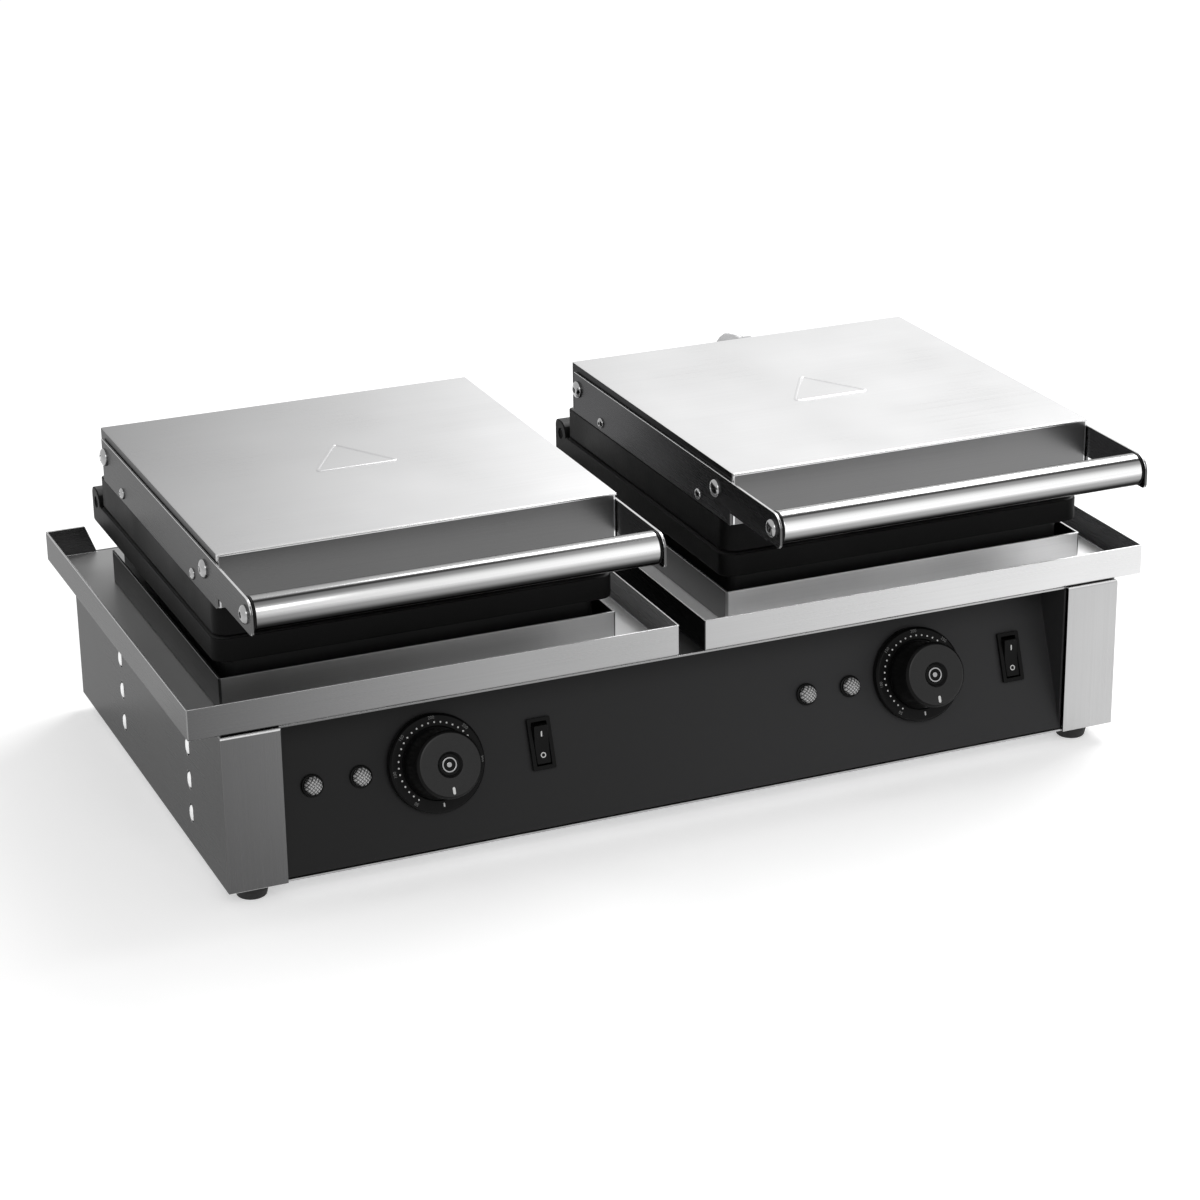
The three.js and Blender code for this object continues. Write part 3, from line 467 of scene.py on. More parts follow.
def panel_place(across):
    """The panel's own frame at a distance across, level with the knobs: X across, Y up the slope, Z out."""
    knob = JOINTS["knob_left_turn"]
    out = -Vector(knob["axis"]).normalized()
    right = Vector((1, 0, 0))
    place = Matrix((right, out.cross(right), out)).transposed().to_4x4()
    place.translation = (across, knob["pos_m"][1], knob["pos_m"][2])
    return place


def facing(point, direction):
    """A frame at a point whose Z looks along a direction."""
    turn = Vector(direction).to_track_quat("Z", "Y").to_matrix().to_4x4()
    turn.translation = Vector(point)
    return turn


# Finishes

def feed(tree, node, values):
    """Fills a node by name: an input is linked to a socket or set, other names are the node's settings."""
    for key, value in values.items():
        if key not in node.inputs:
            setattr(node, key, value)
        elif isinstance(value, bpy.types.NodeSocket):
            tree.links.new(value, node.inputs[key])
        else:
            node.inputs[key].default_value = value


def add(tree, kind, **values):
    """A new node, filled by name."""
    node = tree.nodes.new(kind)
    feed(tree, node, values)
    return node


def shaded(colour, factor):
    """A colour made darker or lighter."""
    return tuple(min(1.0, c * factor) for c in colour)


def grey(level, blue=0.0):
    """A grey, with a little more blue where it is asked for."""
    return (level, level, level + blue)


def new_material(name):
    """A material with its Principled shader."""
    material = bpy.data.materials.new(name)
    material.use_nodes = True
    tree = material.node_tree
    return material, tree, tree.nodes["Principled BSDF"]


def noise_on(tree, scale, detail, stretch=(1, 1, 1)):
    """Noise on Object coordinates, drawn out along the directions with a small stretch value."""
    where = add(tree, "ShaderNodeTexCoord").outputs["Object"]
    place = add(tree, "ShaderNodeMapping", Vector=where, Scale=stretch).outputs["Vector"]
    return add(tree, "ShaderNodeTexNoise", Vector=place, Scale=scale, Detail=detail).outputs["Fac"]


def spread(tree, source, low, high, start=0.3, end=0.7):
    """Maps a value from start..end to low..high."""
    return add(tree, "ShaderNodeMapRange", **{
        "Value": source, "From Min": start, "From Max": end, "To Min": low, "To Max": high,
    }).outputs["Result"]


def between(tree, first, second, share):
    """A colour that goes from the first to the second with a value."""
    return add(tree, "ShaderNodeMix", data_type="RGBA", A=(*first, 1), B=(*second, 1),
               Factor=share).outputs["Result"]


def scaled(tree, colour, factor):
    """A colour socket times a value."""
    return add(tree, "ShaderNodeVectorMath", operation="SCALE", Vector=colour,
               Scale=factor).outputs["Vector"]


def bump_from(tree, source, strength, distance):
    """A surface normal, raised by a value times a distance in metres."""
    return add(tree, "ShaderNodeBump", Strength=strength, Distance=distance,
               Height=source).outputs["Normal"]


def math_node(tree, operation, first, second):
    """A maths node; each side is a socket or a number."""
    node = tree.nodes.new("ShaderNodeMath")
    node.operation = operation
    for index, value in enumerate((first, second)):
        if isinstance(value, (int, float)):
            node.inputs[index].default_value = value
        else:
            tree.links.new(value, node.inputs[index])
    return node.outputs["Value"]


def along_direction(tree, direction, start, end):
    """0 to 1 between two distances along a direction, in metres."""
    where = add(tree, "ShaderNodeTexCoord").outputs["Object"]
    dot = add(tree, "ShaderNodeVectorMath", operation="DOT_PRODUCT", Vector=where)
    dot.inputs[1].default_value = direction
    return spread(tree, dot.outputs["Value"], 0, 1, start, end)


# Stretch of brush lines: across the machine, from front to back, upright and round a turned piece
ACROSS, ALONG, UPRIGHT = (7, 2600, 2600), (2600, 7, 2600), (2600, 2600, 7)
TURNING = (8, 1800, 1800)

# Painted reflection bands of a handle tube: share of the way round from its top over the front, and tone
TUBE_REFLECTION_BANDS = (
    (0.0, 0.62), (0.055, 0.62), (0.068, 0.22), (0.078, 0.05), (0.092, 0.05), (0.102, 0.22), (0.127, 0.33),
    (0.147, 0.6), (0.165, 0.82), (0.183, 0.92), (0.213, 0.92), (0.233, 0.55), (0.254, 0.32), (0.28, 0.27),
    (0.3, 0.16), (0.325, 0.04), (0.37, 0.02), (0.42, 0.05), (0.47, 0.4), (0.55, 0.62), (0.94, 0.62),
    (1.0, 0.62),
)
# How far each unit's painted reflection bands are turned round its tube
REFLECTION_BAND_LEAN = {"left": 0.0, "right": 0.018}


def brushed_steel(name, left, right, stretch, roughness, run=((1, 0, 0), -0.3, 0.3), contrast=0.03,
                  rim=1.0, metal=1.0):
    """Sheet steel whose tone goes from left to right over a run, which is a direction and two distances
    along it: a painted reflection and shade. Its fine brush lines lie along the direction with the small
    stretch value. A low rim keeps it dark where it is seen at a slant, a painted shade of its reflection,
    and a metal value under 1 gives it a matt bloom."""
    material, tree, shader = new_material(name)
    lines = noise_on(tree, 1.0, 3.0, stretch)
    clouds = noise_on(tree, 11.0, 2.0)
    tone = between(tree, left, right, along_direction(tree, *run))
    brush = spread(tree, lines, 1 - contrast, 1 + contrast)
    haze = spread(tree, clouds, 0.96, 1.04)
    rough = spread(tree, lines, roughness - 0.02, roughness + 0.02)
    feed(tree, shader, {
        "Metallic": metal,
        "Specular Tint": (rim, rim, rim, 1),
        "Base Color": scaled(tree, tone, math_node(tree, "MULTIPLY", brush, haze)),
        "Roughness": math_node(tree, "ADD", rough, spread(tree, clouds, -0.02, 0.02)),
        "Normal": bump_from(tree, lines, 0.04, 0.0001),
    })
    return material


def matt(name, colour, tones, roughness, cloud, grain=None, bump=None, gloss=None, run=None):
    """Iron, paint, plastic, rubber or print. Cloud is the scale and detail of the noise that changes its
    tone and roughness, and grain that of the noise under its bump, where it is another one. With a run,
    the tone goes from the first to the second along it."""
    material, tree, shader = new_material(name)
    clouds = noise_on(tree, *cloud)
    share = spread(tree, clouds, 0, 1)
    if run:
        share = math_node(tree, "ADD", along_direction(tree, *run), spread(tree, clouds, -0.02, 0.02))
    feed(tree, shader, {
        "Base Color": between(tree, *(shaded(colour, tone) for tone in tones), share),
        "Roughness": spread(tree, clouds, *roughness) if isinstance(roughness, tuple) else roughness,
    })
    if bump:
        feed(tree, shader, {"Normal": bump_from(tree, noise_on(tree, *grain) if grain else clouds, *bump)})
    if gloss:
        feed(tree, shader, {"Specular IOR Level": gloss})
    return material


def polished_steel(name, colour):
    """Polished steel of the screws, with faint turning lines."""
    material, tree, shader = new_material(name)
    lines = noise_on(tree, 1.0, 3.0, TURNING)
    feed(tree, shader, {
        "Metallic": 1.0,
        "Base Color": between(tree, shaded(colour, 0.97), shaded(colour, 1.03), spread(tree, lines, 0, 1)),
        "Roughness": spread(tree, lines, 0.15, 0.19),
    })
    return material


def tube_reflection_steel(name):
    """Steel of the handle tubes, whose tone follows painted reflection bands round the tube and a painted
    shade that darkens it to the left.
    """
    material, tree, shader = new_material(name)
    lines = noise_on(tree, 1.0, 3.0, TURNING)
    turn = add(tree, "ShaderNodeAttribute", attribute_name="turn")
    bands = add(tree, "ShaderNodeValToRGB", Fac=turn.outputs["Fac"])
    stops = bands.color_ramp.elements
    for place, _ in TUBE_REFLECTION_BANDS[1:-1]:
        stops.new(place)
    for stop, (place, level) in zip(stops, TUBE_REFLECTION_BANDS):
        stop.position = place
        stop.color = (level, level, level, 1)
    # Painted shade: the tube gets darker towards the left
    painted_shade_left = spread(tree, along_direction(tree, (1, 0, 0), -0.27, -0.06), 0.66, 1.08, 0, 1)
    feed(tree, shader, {
        "Metallic": 1.0,
        "Specular Tint": (0.4, 0.4, 0.4, 1),
        "Base Color": scaled(tree, bands.outputs["Color"], painted_shade_left),
        "Roughness": spread(tree, lines, 0.16, 0.2),
    })
    return material


def lamp_lens(name, colour):
    """Pressed lens with painted shade in its grooves and round its foot, and a painted highlight on its
    points.
    """
    material, tree, shader = new_material(name)
    groove = add(tree, "ShaderNodeAttribute", attribute_name="groove")
    share = spread(tree, groove.outputs["Fac"], 0, 1, 0.1, 0.5)
    feed(tree, shader, {
        "Base Color": between(tree, shaded(colour, 0.08), shaded(colour, 2.1), share),
        "Roughness": 0.16,
        "Coat Weight": 0.4,
    })
    return material


def sheet_finishes(tone):
    """The finishes of sheet steel and of small steel parts, by name. The sheet steels carry painted
    reflection and shade in their tones.
    """
    top = tuple(tone.top_left), tuple(tone.top_right)
    # The left lid's tones are lifted above those of the right lid, a painted highlight
    shine = shaded(top[0], 1.1), shaded(top[1], 1.3)
    front = tuple(tone.front_left), tuple(tone.front_right)
    side = tuple(tone.side_left), tuple(tone.side_right)
    edge = tuple(tone.edge)
    low, dim = grey(0.11), grey(0.35)
    lid_run = ((0.9, -0.43, 0), -0.3, 0.03)
    side_run = ((1, 0, 0), -0.28, -0.02)
    floor_run = ((1, 0, 0), -0.26, 0.06)
    collar_run = ((1, 0, 0), -0.24, 0.02)
    # Painted light in the steels: each left and right tone is painted shade and painted reflection, dark at
    # the left and light at the right; lid walls, collar sides and arm ends are painted darker, and edge is a
    # painted highlight
    rows = {
        "lid_top_left": ("lid steel, left", *shine, ACROSS, 0.3, lid_run),
        "lid_top_right": ("lid steel, right", *top, ACROSS, 0.3, lid_run),
        "lid_wall": ("lid wall steel", low, grey(0.2, 0.001), ACROSS, 0.3),
        "side": ("side steel", *side, ALONG, 0.28, side_run, 0.03, 0.5),
        "tray_side_left": ("left tray side steel", grey(0.25, 0.001), grey(0.2, 0.001), ALONG, 0.28,
                           side_run, 0.03, 0.5),
        "tray_side_right": ("right tray side steel", side[1], side[1], ALONG, 0.28, side_run, 0.03, 0.5),
        "front": ("front steel", *front, ACROSS, 0.28),
        "arm_side": ("side plate steel", side[0], shaded(side[1], 2.2), ALONG, 0.28, side_run, 0.03, 0.5),
        "cheek": ("cheek steel", front[0], shaded(front[1], 0.66), UPRIGHT, 0.28),
        "edge": ("edge steel", shaded(edge, 0.8), edge, ACROSS, 0.25),
        "floor": ("tray floor steel", shaded(dim, 0.8), grey(0.95, 0.002), ACROSS, 0.45, floor_run, 0.03,
                  1.0, 0.7),
        "deck": ("deck steel", low, shaded(low, 2.2), ACROSS, 0.3),
        "collar_front": ("collar steel", dim, grey(0.85, 0.002), ACROSS, 0.4, collar_run),
        "collar_side": ("collar side steel", shaded(low, 0.4), shaded(low, 0.8), ALONG, 0.32, side_run),
        "vane": ("vane steel", grey(0.9), grey(0.9), UPRIGHT, 0.45),
    }
    made = {key: brushed_steel(*row) for key, row in rows.items()}
    made["arm_end"] = brushed_steel("arm end steel", low, low, UPRIGHT, 0.35, rim=0.3)
    made["zinc"] = brushed_steel("zinc plated steel", grey(0.42, 0.005), grey(0.48, 0.005), (60, 60, 60),
                                 0.36, contrast=0.12)
    made["pin"] = brushed_steel("blackened pin", grey(0.03), grey(0.04), (60, 60, 60), 0.4, contrast=0.2,
                                rim=0.3)
    made["sheath"] = brushed_steel("heater sheath", (0.07, 0.06, 0.055), (0.08, 0.07, 0.06), (50, 50, 50),
                                   0.5, contrast=0.2)
    return made


def make_finishes():
    """All finishes by name."""
    tone = colours()
    iron, paint, plastic = tuple(tone.iron), tuple(tone.paint), tuple(tone.plastic)
    made = sheet_finishes(tone)
    made["polished"] = polished_steel("polished steel", tuple(tone.polished))
    made["tube"] = tube_reflection_steel("tube steel with painted reflections")
    made["lens"] = lamp_lens("lamp lens", tuple(tone.lens))

    for key, name, lift, gloss in (
            ("iron", "seasoned cast iron", 1.0, 0.06), ("grid_iron", "oiled grid iron", 4.0, 0.3)):
        made[key] = matt(name, shaded(iron, lift), (0.7, 1.7), (0.38, 0.56), (16.0, 3.0), (420.0, 6.0),
                         (0.28, 0.0003), gloss)

    # The panel paint runs from dark at the left to light at the right: painted shade and painted reflection
    for key, name, tones, gloss, run in (
            ("paint", "satin black paint", (0.92, 1.1), 0.36, None),
            ("panel", "satin panel paint", (0.4, 4.6), 0.2, ((1, 0, 0), -0.26, 0.12))):
        made[key] = matt(name, paint, tones, (0.36, 0.44), (7.0, 2.0), (900.0, 3.0), (0.1, 0.0001), gloss,
                         run)

    for key, name, lift, gloss in (
            ("plastic", "moulded black plastic", 1.0, 0.1), ("knob_face", "satin knob face", 2.0, 0.3)):
        made[key] = matt(name, shaded(plastic, lift), (0.8, 1.3), (0.3, 0.4), (1500.0, 2.0),
                         bump=(0.12, 0.00006), gloss=gloss)

    made["rubber"] = matt("rubber", grey(0.016), (0.8, 1.5), 0.75, (700.0, 4.0), bump=(0.3, 0.0002))
    made["print"] = matt("white print", grey(0.78, -0.01), (0.92, 1.04), 0.5, (800.0, 2.0))
    made["faint_print"] = matt("faint print", grey(0.17, -0.002), (0.85, 1.1), 0.5, (800.0, 2.0))
    return made


# Geometry node trees

def new_tree(name, wanted):
    """A geometry tree with named inputs and one output; returns the tree, its input node and identifiers."""
    tree = bpy.data.node_groups.new(name, "GeometryNodeTree")
    tree.interface.new_socket(name="Geometry", in_out="OUTPUT", socket_type="NodeSocketGeometry")
    tree.interface.new_socket(name="Geometry", in_out="INPUT", socket_type="NodeSocketGeometry")
    keys = {}
    for label, kind in wanted:
        socket = tree.interface.new_socket(name=label, in_out="INPUT", socket_type="NodeSocket" + kind)
        keys[label] = socket.identifier
    return tree, tree.nodes.new("NodeGroupInput"), keys


def close_tree(tree, source, inputs):
    """Ends a tree in Realize Instances and Set Material."""
    real = add(tree, "GeometryNodeRealizeInstances", Geometry=source)
    paint = add(tree, "GeometryNodeSetMaterial", Geometry=real.outputs["Geometry"],
                Material=inputs.outputs["Finish"])
    add(tree, "NodeGroupOutput", Geometry=paint.outputs["Geometry"])


def run_tree(name, base, tree, keys, values):
    """Runs a tree on a base mesh or curve and returns the plain mesh that it makes."""
    thing = object_from(name, base)
    modifier = thing.modifiers.new("shape", "NODES")
    modifier.node_group = tree
    for label, value in values.items():
        modifier[keys[label]] = value
    return plain_mesh(thing)


def fixings_tree():
    """Copies of one fixing on the points of a mesh, each looking along the point's own direction."""
    tree, inputs, keys = new_tree("fixings", [
        ("Fixing", "Object"), ("Size", "Float"), ("Spin", "Float"), ("Seed", "Int"), ("Finish", "Material"),
    ])
    given = inputs.outputs
    info = add(tree, "GeometryNodeObjectInfo", Object=given["Fixing"])
    direction = add(tree, "GeometryNodeInputNamedAttribute", data_type="FLOAT_VECTOR", Name="direction")
    align = add(tree, "FunctionNodeAlignRotationToVector", axis="Z", Vector=direction.outputs["Attribute"])
    chance = add(tree, "FunctionNodeRandomValue", data_type="FLOAT", Seed=given["Seed"])
    tree.links.new(given["Spin"], chance.inputs[3])
    spin = add(tree, "FunctionNodeAxisAngleToRotation", Axis=(0, 0, 1), Angle=chance.outputs[1])
    turn = add(tree, "FunctionNodeRotateRotation", rotation_space="LOCAL", **{
        "Rotation": align.outputs["Rotation"], "Rotate By": spin.outputs["Rotation"],
    })
    copies = add(tree, "GeometryNodeInstanceOnPoints", Points=given["Geometry"],
                 Instance=info.outputs["Geometry"], Rotation=turn.outputs["Rotation"], Scale=given["Size"])
    close_tree(tree, copies.outputs["Instances"], inputs)
    return tree, keys


def dots_tree():
    """Flat round dots along an arc about the origin, in the plane of X and Y."""
    tree, inputs, keys = new_tree("scale dots", [
        ("Count", "Int"), ("Radius", "Float"), ("Start", "Float"), ("Sweep", "Float"),
        ("Dot", "Float"), ("Thickness", "Float"), ("Finish", "Material"),
    ])
    given = inputs.outputs
    index = add(tree, "GeometryNodeInputIndex").outputs["Index"]
    share = math_node(tree, "DIVIDE", index, math_node(tree, "SUBTRACT", given["Count"], 1.0))
    angle = math_node(tree, "ADD", math_node(tree, "MULTIPLY", share, given["Sweep"]), given["Start"])
    x, y = (math_node(tree, "MULTIPLY", math_node(tree, operation, angle, 0.0), given["Radius"])
            for operation in ("COSINE", "SINE"))
    place = add(tree, "ShaderNodeCombineXYZ", X=x, Y=y)
    points = add(tree, "GeometryNodePoints", Count=given["Count"], Position=place.outputs["Vector"])
    dot = add(tree, "GeometryNodeMeshCylinder", Vertices=14, Radius=given["Dot"],
              Depth=given["Thickness"])
    copies = add(tree, "GeometryNodeInstanceOnPoints", Points=points.outputs["Points"],
                 Instance=dot.outputs["Mesh"])
    close_tree(tree, copies.outputs["Instances"], inputs)
    return tree, keys


def ribs_tree():
    """A ribbed hose along a curve: its radius rises and falls once in each pitch."""
    tree, inputs, keys = new_tree("ribbed hose", [
        ("Pitch", "Float"), ("Root", "Float"), ("Rise", "Float"), ("Finish", "Material"),
    ])
    given = inputs.outputs
    step = math_node(tree, "DIVIDE", given["Pitch"], 8.0)
    path = add(tree, "GeometryNodeResampleCurve", mode="LENGTH", Curve=given["Geometry"], Length=step)
    along = add(tree, "GeometryNodeSplineParameter").outputs["Length"]
    ribs = math_node(tree, "DIVIDE", along, given["Pitch"])
    wave = math_node(tree, "COSINE", math_node(tree, "MULTIPLY", ribs, math.tau), 0.0)
    lift = math_node(tree, "MULTIPLY", math_node(tree, "SUBTRACT", 1.0, wave), 0.5)
    full = math_node(tree, "POWER", lift, 0.6)
    radius = math_node(tree, "ADD", math_node(tree, "MULTIPLY", full, given["Rise"]), given["Root"])
    profile = add(tree, "GeometryNodeCurvePrimitiveCircle", Resolution=28, Radius=1.0)
    skin = add(tree, "GeometryNodeCurveToMesh", **{
        "Curve": path.outputs["Curve"], "Profile Curve": profile.outputs["Curve"], "Scale": radius,
        "Fill Caps": True,
    })
    close_tree(tree, skin.outputs["Mesh"], inputs)
    return tree, keys


# Fixings

def even(radius):
    """The same distance at every angle, for a round ring."""
    return lambda angle: radius


def hexagon(reach):
    """The distance to a six-sided outline at an angle, with reach out to its corners."""
    sector = math.pi / 3
    return lambda angle: reach * math.cos(sector / 2) / math.cos((angle % sector) - sector / 2)


def socket_screw(name, radius, rise, socket, depth):
    """A domed screw head with a six-sided socket, standing on z = 0, in millimetres."""
    sides, steps = 48, 8
    brim = 0.18
    crown = math.pi * 0.36
    rings = [[Vector((0, 0, 0))], ring(sides, even(radius), 0), ring(sides, even(radius), rise * brim)]
    for k in range(1, steps + 1):
        angle = k / steps * crown
        height = rise * (brim + (1 - brim) * math.sin(angle) / math.sin(crown))
        rings.append(ring(sides, even(radius * math.cos(angle)), height))
    rings += [
        ring(sides, hexagon(socket * 1.06), rise),
        ring(sides, hexagon(socket), rise - 0.15),
        ring(sides, hexagon(socket), rise - depth),
        [UP * (rise - depth) * MM],
    ]
    return crisp(ring_skin(name, rings))


def hex_nut(name, corner, bottom, top, bore, place):
    """A nut with chamfered corners between two heights on local Z, in millimetres."""
    sides = 72
    flat = corner * math.cos(math.pi / 6)
    across = hexagon(corner)
    chamfer = 0.55

    def outline(height, lean):
        row = []
        for i in range(sides):
            angle = 2 * math.pi * i / sides
            reach = across(angle)
            rise = height + lean * (reach - flat)
            row.append(place @ (Vector((reach * math.cos(angle), reach * math.sin(angle), rise)) * MM))
        return row

    def seat(angle):
        return min(across(angle), flat * 1.01)

    rings = [
        ring(sides, even(bore), bottom, place),
        ring(sides, seat, bottom, place),
        outline(bottom, chamfer),
        outline(top, -chamfer),
        ring(sides, seat, top, place),
        ring(sides, even(bore), top, place),
    ]
    return crisp(ring_skin(name, rings, joined=True), 24)


def fixings(name, head, spots, finish, spin=math.tau):
    """One mesh of fixings: spots are (point, direction) pairs in metres. Each is turned by chance, up to
    spin."""
    base = bpy.data.meshes.new(name)
    base.from_pydata([tuple(point) for point, _ in spots], [], [])
    layer = base.attributes.new("direction", "FLOAT_VECTOR", "POINT")
    for item, (_, direction) in zip(layer.data, spots):
        item.vector = direction
    tree, keys = TREES["fixings"]
    template = object_from(name + "_head", head)
    mesh = run_tree(name, base, tree, keys, {
        "Fixing": template, "Size": 1.0, "Spin": spin, "Seed": 3, "Finish": FINISH[finish],
    })
    bpy.data.objects.remove(template)
    return mesh


# Operators

class WAFFLE_OT_cabinet(bpy.types.Operator):
    """Fold the cabinet shell, close it with its base plate and fit the inlet gland."""

    bl_idname = "waffle.cabinet"
    bl_label = "Cabinet"

    def execute(self, context):
        size = sizes()
        shell = softened("cabinet_sheet", "cabinet_shell", size.sheet_edge, size.fold_radius,
                         outer_fold(BOTTOM), upright=True)
        # Tops take the deck steel, fronts the cheek steel, left faces the side steel and rounded edges the
        # edge steel: painted light and shade, and a painted edge highlight
        finish_piece(shell, ["deck", "cheek", "side", "edge"], "root", ["cabinet_shell"])

        spots = air_slots("cabinet_shell")
        vane = slab_mesh("vane", 5.6, 9.6, 0.5, Matrix.Rotation(math.pi / 2, 4, "Z"), dome=1.4)
        mesh = fixings("slot_vanes", vane, spots, "vane", spin=0.0)
        piece("slot_vanes", mesh, "vane", "root")

        base = softened("base_sheet", "base_plate", size.sheet_edge)
        finish_piece(base, ["zinc"], "root", ["base_plate"])
        low, high, middle = box("base_plate")
        inset, front_inset = 12 * MM, 7.2 * MM
        spots = []
        for x in (low.x + inset, middle.x, high.x - inset):
            for y in (low.y + front_inset, high.y - inset):
                spots.append((Vector((x, y, low.z)), -UP))
        head = socket_screw("base_screw_head", 3.4, 1.7, 1.4, 0.9)
        mesh = fixings("base_screws", head, spots, "polished")
        piece("base_screws", mesh, "polished", "root")

        middle = box("cable_gland")[2]
        back = box("cabinet_shell")[1].y
        place = facing((middle.x, back, middle.z), (0, 1, 0))
        bore = 4.3
        nut = hex_nut("gland_nut", 12, 0.3, 8.3, bore, place)
        dome = turned("gland_dome", [
            (bore, 7.6), (9.5, 7.6), (9.5, 12.4, 2.2), (5.4, 17.3, 1.2), (bore, 17.3, 0.4), (bore, 7.6),
        ], 64, place)
        thread = turned("gland_thread", [
            (bore, -11.7), (6.6, -11.7, 0.4), (7.2, -11, 0.3), (7.2, 0.5), (bore, 0.5), (bore, -11.7),
        ], 64, place)
        piece("inlet_gland", join_meshes("inlet_gland", [nut, dome, thread]), "plastic", "root",
              ["cable_gland"])
        return {"FINISHED"}


def air_slots(node):
    """The middle of each slot in the two side walls, just behind its face, with the way out of it."""
    rim_y, rim_z = 15 * MM, 8 * MM
    nearest = 7.5 * MM
    behind = 0.95 * MM
    low, high, _ = box(node)
    spots = []
    for hand, wall in ((-1, low.x), (1, high.x)):
        groups = []
        for vertex in frame["nodes"][node].data.vertices:
            point = vertex.co
            inside = (low.y + rim_y < point.y < high.y - rim_y
                      and low.z + rim_z < point.z < high.z - rim_z)
            if abs(point.x - wall) > ON_SIDE or not inside:
                continue
            near = [group for group in groups if any((point - other).length < nearest for other in group)]
            groups = [group for group in groups if group not in near]
            groups.append([point.copy()] + [other for group in near for other in group])
        for group in groups:
            y = (min(p.y for p in group) + max(p.y for p in group)) / 2
            z = (min(p.z for p in group) + max(p.z for p in group)) / 2
            spots.append((Vector((wall - hand * behind, y, z)), Vector((hand, 0, 0))))
    return spots


class WAFFLE_OT_feet(bpy.types.Operator):
    """Turn the four rubber feet."""

    bl_idname = "waffle.feet"
    bl_label = "Feet"

    def execute(self, context):
        for corner in ("front_left", "front_right", "rear_left", "rear_right"):
            node = "foot_" + corner
            low, high, middle = box(node)
            place = Matrix.Translation((middle.x, middle.y, low.z))
            height = (high.z - low.z) / MM
            mesh = turned("rubber_foot_" + corner, [
                (0, 1.6), (3.2, 1.6, 0.3), (3.2, 0, 0.3), (8.4, 0, 1.2), (9.6, height * 0.45, 0.8),
                (10, height, 0.3), (0, height),
            ], 64, place)
            piece("rubber_foot_" + corner, mesh, "rubber", "root", [node])
        return {"FINISHED"}


class WAFFLE_OT_panel(bpy.types.Operator):
    """Fold the sloping control panel."""

    bl_idname = "waffle.panel"
    bl_label = "Control panel"

    def execute(self, context):
        panel = softened("panel_sheet", "control_panel", SMALL_SHEET_EDGE)
        finish_piece(panel, ["panel"], "root", ["control_panel"])
        return {"FINISHED"}


class WAFFLE_OT_trays(bpy.types.Operator):
    """Fold the drip trays and the collars that stand in them."""

    bl_idname = "waffle.trays"
    bl_label = "Trays and collars"

    def execute(self, context):
        radius = sizes().fold_radius
        for unit in UNITS:
            node = f"drip_tray_{unit}"
            tray = softened(f"tray_sheet_{unit}", node, SMALL_SHEET_EDGE, radius, outer_fold(TOP),
                            upright=True)
            # Level faces take the floor steel, fronts the front steel, left faces the tray side steel and
            # rounded edges the edge steel: painted light and shade, and a painted edge highlight
            finish_piece(tray, ["floor", "front", f"tray_side_{unit}", "edge"], "root", [node])
            node = f"collar_{unit}"
            collar = softened(f"collar_sheet_{unit}", node, SMALL_SHEET_EDGE, radius,
                              outer_fold(TOP, BOTTOM))
            # Collar fronts and left faces take the collar steels, lighter to the right and dark at the sides:
            # painted reflection and shade
            finish_piece(collar, ["front", "collar_front", "collar_side", "front"], "root",
                         [node])
        return {"FINISHED"}


class WAFFLE_OT_plates(bpy.types.Operator):
    """Cast the cooking plates and fit their pans, hinge pins and heaters."""

    bl_idname = "waffle.plates"
    bl_label = "Plates"

    def execute(self, context):
        edge = sizes().casting_edge
        for unit in UNITS:
            for level, body in (("lower", "root"), ("upper", f"lid_{unit}")):
                node = f"{level}_plate_{unit}"
                plate = softened(f"{level}_casting_{unit}", node, edge, steps=2)
                finish_piece(plate, ["grid_iron", "iron"], body, [node])
                dress_node(f"{level}_heater_{unit}", "sheath")
            pan = softened(f"pan_sheet_{unit}", f"heater_pan_{unit}", SMALL_SHEET_EDGE)
            finish_piece(pan, ["paint"], "root", [f"heater_pan_{unit}"])
            low, high, middle = box(f"hinge_pin_{unit}")
            length = (high.x - low.x) / MM
            place = facing((low.x, middle.y, middle.z), (1, 0, 0))
            profile = [(0, 0), (3, 0, 0.5), (3, length, 0.5), (0, length)]
            mesh = turned(f"pin_rod_{unit}", profile, 40, place)
            piece(f"pin_rod_{unit}", mesh, "pin", "root", [f"hinge_pin_{unit}"])
        return {"FINISHED"}


def strip(name, low, high, edge):
    """A straight strip between two corners in metres, with rounded edges."""
    work = bmesh.new()
    bmesh.ops.create_cube(work, size=1.0)
    middle = (Vector(low) + Vector(high)) / 2
    for vertex in work.verts:
        vertex.co = middle + Vector(vertex.co[i] * (high[i] - low[i]) for i in range(3))
    bmesh.ops.bevel(work, geom=work.edges[:], offset=edge * MM, segments=2, profile=0.5, affect="EDGES")
    for face in work.faces:
        face.smooth = True
    return crisp(mesh_from(work, name), 30)


def bead_outline(points, rounding):
    """A closed outline with rounded corners, from corner points in X and Y."""
    outline = []
    count = len(points)
    for i, here in enumerate(points):
        before = (points[i - 1] - here).normalized()
        after = (points[(i + 1) % count] - here).normalized()
        reach = rounding / math.tan(before.angle(after) / 2)
        outline += corner_curve(here + before * reach, here, here + after * reach, 6)
    return outline


